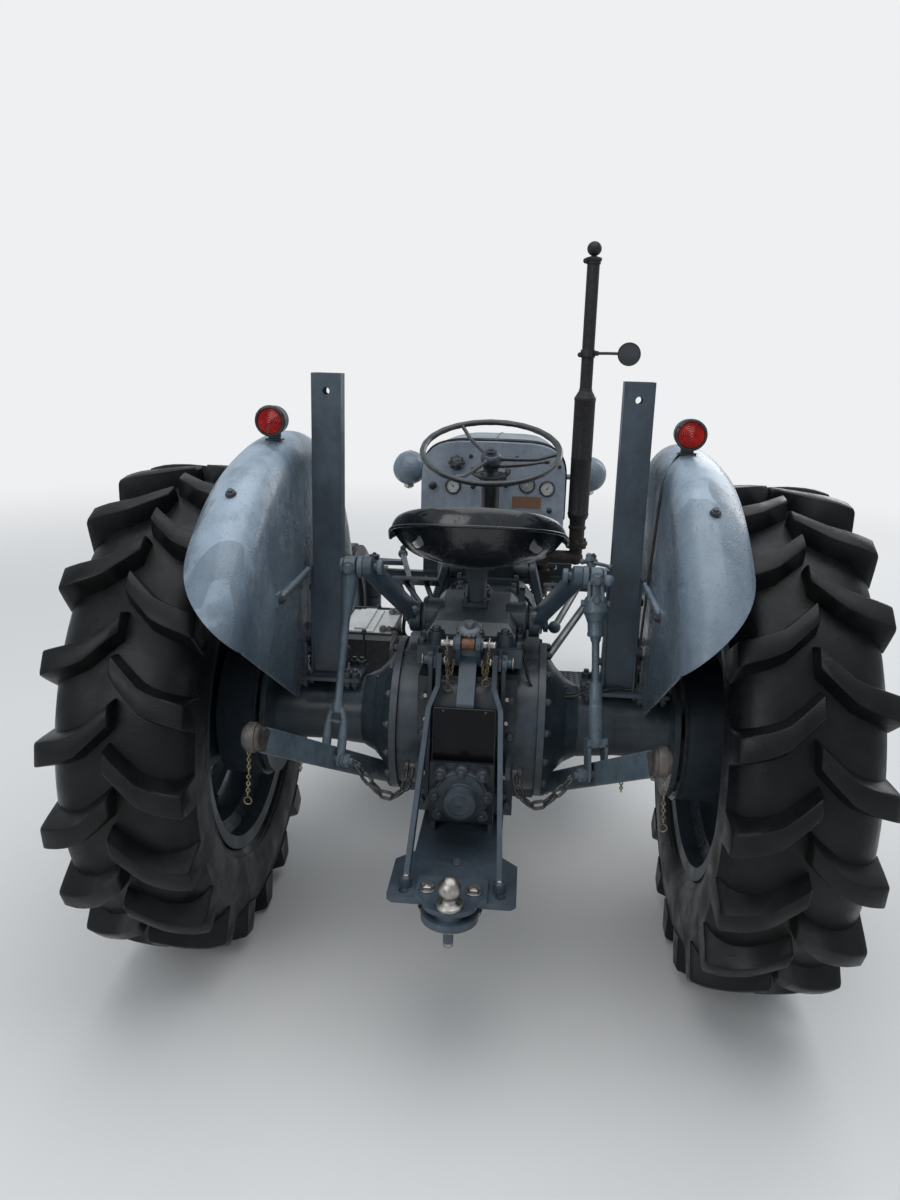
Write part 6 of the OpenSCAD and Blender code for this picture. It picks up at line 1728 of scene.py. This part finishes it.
def buildFrontDetails():
    s = Shape()
    for k in range(radiator["fins"]):         # upright fins on both faces
        x = -radiator["half"] + 2 * radiator["half"] * k / (radiator["fins"] - 1)
        for y in (radiator["rear"] - 3, radiator["front"]):
            s.box((x - 1.1, y, radiator["low"]), (x + 1.1, y + 3, radiator["high"]))
    for k in range(radiator["bars"]):
        z = radiator["low"] + k * (radiator["high"] - radiator["low"]) / (radiator["bars"] - 1)
        s.box((-radiator["half"], radiator["front"] + 1, z - 1.5),
              (radiator["half"], radiator["front"] + 2.5, z + 1.5))
    s.revolve((0, 1770, 1136), toTop, [(0, 32), (5, 34), (12, 34), (16, 28), (18, 12), (18, 0)], sides=40)
    s.piece("radiatorFins", blackPaint, slot="black", weld=False)
    g, r = Shape(), Shape()
    for sign in (-1, 1):
        face = (sign * headlamp["x"], headlamp["y"], headlamp["z"])
        g.revolve(face, toFront, [(1, 61), (6, 52), (11, 34), (14, 14), (14.5, 0)], sides=56)
        r.revolve(face, toFront, [(-9, 66.3), (-9, 68), (0, 69.5), (5, 67), (6, 62), (1, 61)], sides=56,
                  closed=True)
        r.bolt((face[0], face[1] - 3, face[2] + 69), toTop, 8, 4, washer=False)
        r.revolve((face[0], face[1] - 42, face[2] - 23), -toTop, [(40, 20), (50, 20), (56, 12), (60, 0)],
                  sides=24)
    g.piece("headlampGlass", flutedGlass, "bonnet", smooth=60, slot="lamp")
    r.piece("headlampRims", brightSteel, "bonnet", smooth=45, slot="casting")
    d = Shape()
    d.revolve((headlamp["x"], headlamp["y"], headlamp["z"]), toFront, [(0, 0), (0, 60), (0.6, 60), (0.6, 0)])
    d.mirrored()
    d.piece("headlampReflectors", mirrorSteel, "bonnet", smooth=45, slot="casting")
    a = Shape()
    for sign in (-1, 1):
        a.revolve((sign * frontAxle["kingpin"], frontTyre["wheelbase"], 644), toTop,
                  [(0, 20), (3, 24), (12, 24), (16, 18), (16, 8), (24, 7), (24, 0)], sides=32)
        for x in (190, 250, 310):
            a.bolt((sign * x, 1717.5, 575), -toFront, 24, 12, shank=5)
            a.bolt((sign * x, 1804, 575), toFront, 24, 12, shank=8)
        a.bolt((sign * 150, 640, 486), (sign, 0, 0), 24, 9)
        n = Shape().bolt((sign * frontAxle["nutX"], frontTyre["wheelbase"], 690), toTop, 22, 10, shank=5)
        side = "left" if sign < 0 else "right"
        n.piece("dragLinkNut_" + side, wheelPaint, "drag_link_" + side, smooth=30, slot="paint")
    a.bolt((0, 1868, 610), toFront, 36, 16, shank=8)
    for x in (-150, -60, 60, 150):
        a.bolt((x, 2082, 700), toFront, 19, 9)
    for z in (560, 700, 790):
        a.bolts([(x, 1622, z) for x in (-165, 165)], -toFront, across=19, head=9)
    a.piece("frontBolts", wheelPaint, smooth=30, slot="paint")
    k = Shape()
    k.ball((0, 500, 1000), 20.5, sides=24)
    k.revolve((0, 560, 820), toTop, [(0, 31), (4, 30), (8, 24), (13, 24), (17, 17), (22, 17), (28, 9),
                                     (28, 0)], sides=32)
    k.piece("gearKnob", blackPaint, smooth=60, slot="black")


buildFrontDetails()
print("front details done")

# Bonnet skin with its seams and catches

bonnet = {"thick": 3, "crown": 150, "sections": (
    (993, 250, 1255, 985), (1200, 242, 1251, 975), (1420, 230, 1243, 965), (1600, 220, 1233, 950),
    (1680, 216, 1228, 900), (1740, 213, 1223, 760), (1800, 208, 1218, 690), (1930, 202, 1207, 660),
    (2040, 194, 1189, 652), (2100, 182, 1163, 650), (2128, 168, 1133, 650), (2140, 152, 1097, 650))}


def bonnetRow(section, t):
    y, w, top, low = section
    row = [(w - t, y, low + (top - bonnet["crown"] - low) * k / 5) for k in range(5)]
    row += [((w - t) * u, y, top - bonnet["crown"] + (bonnet["crown"] - t) * v) for u, v in crown()]
    return row + [(-x, y, z) for x, y, z in reversed(row[:5])]


def buildBonnet():
    s = Shape()
    sections = []
    table = bonnet["sections"]
    for a, b in zip(table, table[1:]):
        sections += [tuple(u + (v - u) * k / 4 for u, v in zip(a, b)) for k in range(4)]
    sections.append(table[-1])
    s.rings([bonnetRow(q, 0) + bonnetRow(q, bonnet["thick"])[::-1] for q in sections])
    obj = s.piece("bonnetSkin", bonnetPaint, "bonnet", smooth=48, slot="pale_paint", weld=False)
    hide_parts("bonnet")
    t = Shape()
    for row in (bonnetRow(sections[2], -0.8), bonnetRow(sections[29], -0.8)):      # raised bands across
        t.tube(row[3:-3], 3, sides=6, flat=0.6)
    t.tube([(0, q[0], q[2] + 0.6) for q in sections[:-3]], 3.4, sides=8, flat=0.7)
    for sign in (-1, 1):
        t.tube([(sign * (q[1] + 0.3), q[0], q[3] + 3) for q in sections], 3.2, sides=8)
        t.box((sign * 238 - 6, 1240, 1000), (sign * 238 + 8, 1300, 1016))
        t.bent([(sign * 246, 1230, 1008), (sign * 258, 1250, 1010), (sign * 258, 1290, 1010),
                (sign * 246, 1310, 1008)], 5, 4, sides=10)
    t.piece("bonnetTrim", wheelPaint, "bonnet", smooth=45, slot="pale_paint", weld=False)


buildBonnet()
print("bonnet done")

# Finishes on the solid pieces

cadFinish = {
    bodyPaint: ("posts", "hitch_stays", "lower_link_left", "lower_link_right", "lift_arms", "lift_rod_left",
                "lift_rod_right", "pedals", "knuckle_left", "knuckle_right", "drag_link_left",
                "drag_link_right", "drop_arm_left", "drop_arm_right", "hitch"),
    castPaintDarkForShade: ("engine", "front_support", "front_axle", "gearbox", "steering_box", "rear_housing",
                "axle_housings"),
    rimPaint: ("rear_rim_left", "rear_rim_right", "front_rim_left", "front_rim_right"),
    wheelPaint: ("footplates", "engine_units", "fuel_tank", "grille"),
    wingPaint: ("wings",),
    bonnetPaint: ("bonnet", "headlamps"),
    dashPaintWithSheen: ("dash",),
    tyreRubber: ("rear_tyre_left", "rear_tyre_right", "front_tyre_left", "front_tyre_right"),
    blackPaint: ("radiator", "seat", "rear_mirror", "tail_lamps", "steering_wheel"),
    castIron: ("manifold",),
    stackBlack: ("exhaust",),
    bronze: ("top_link_rocker",),
    chainSteel: ("check_chains",),
    boxPlastic: ("battery",),
    plateBlack: ("number_plate",),
}
for finish, names in cadFinish.items():
    for name in names:
        mesh = nodes[name].data
        mesh.materials.clear()
        mesh.materials.append(finish)
print("solid pieces painted")
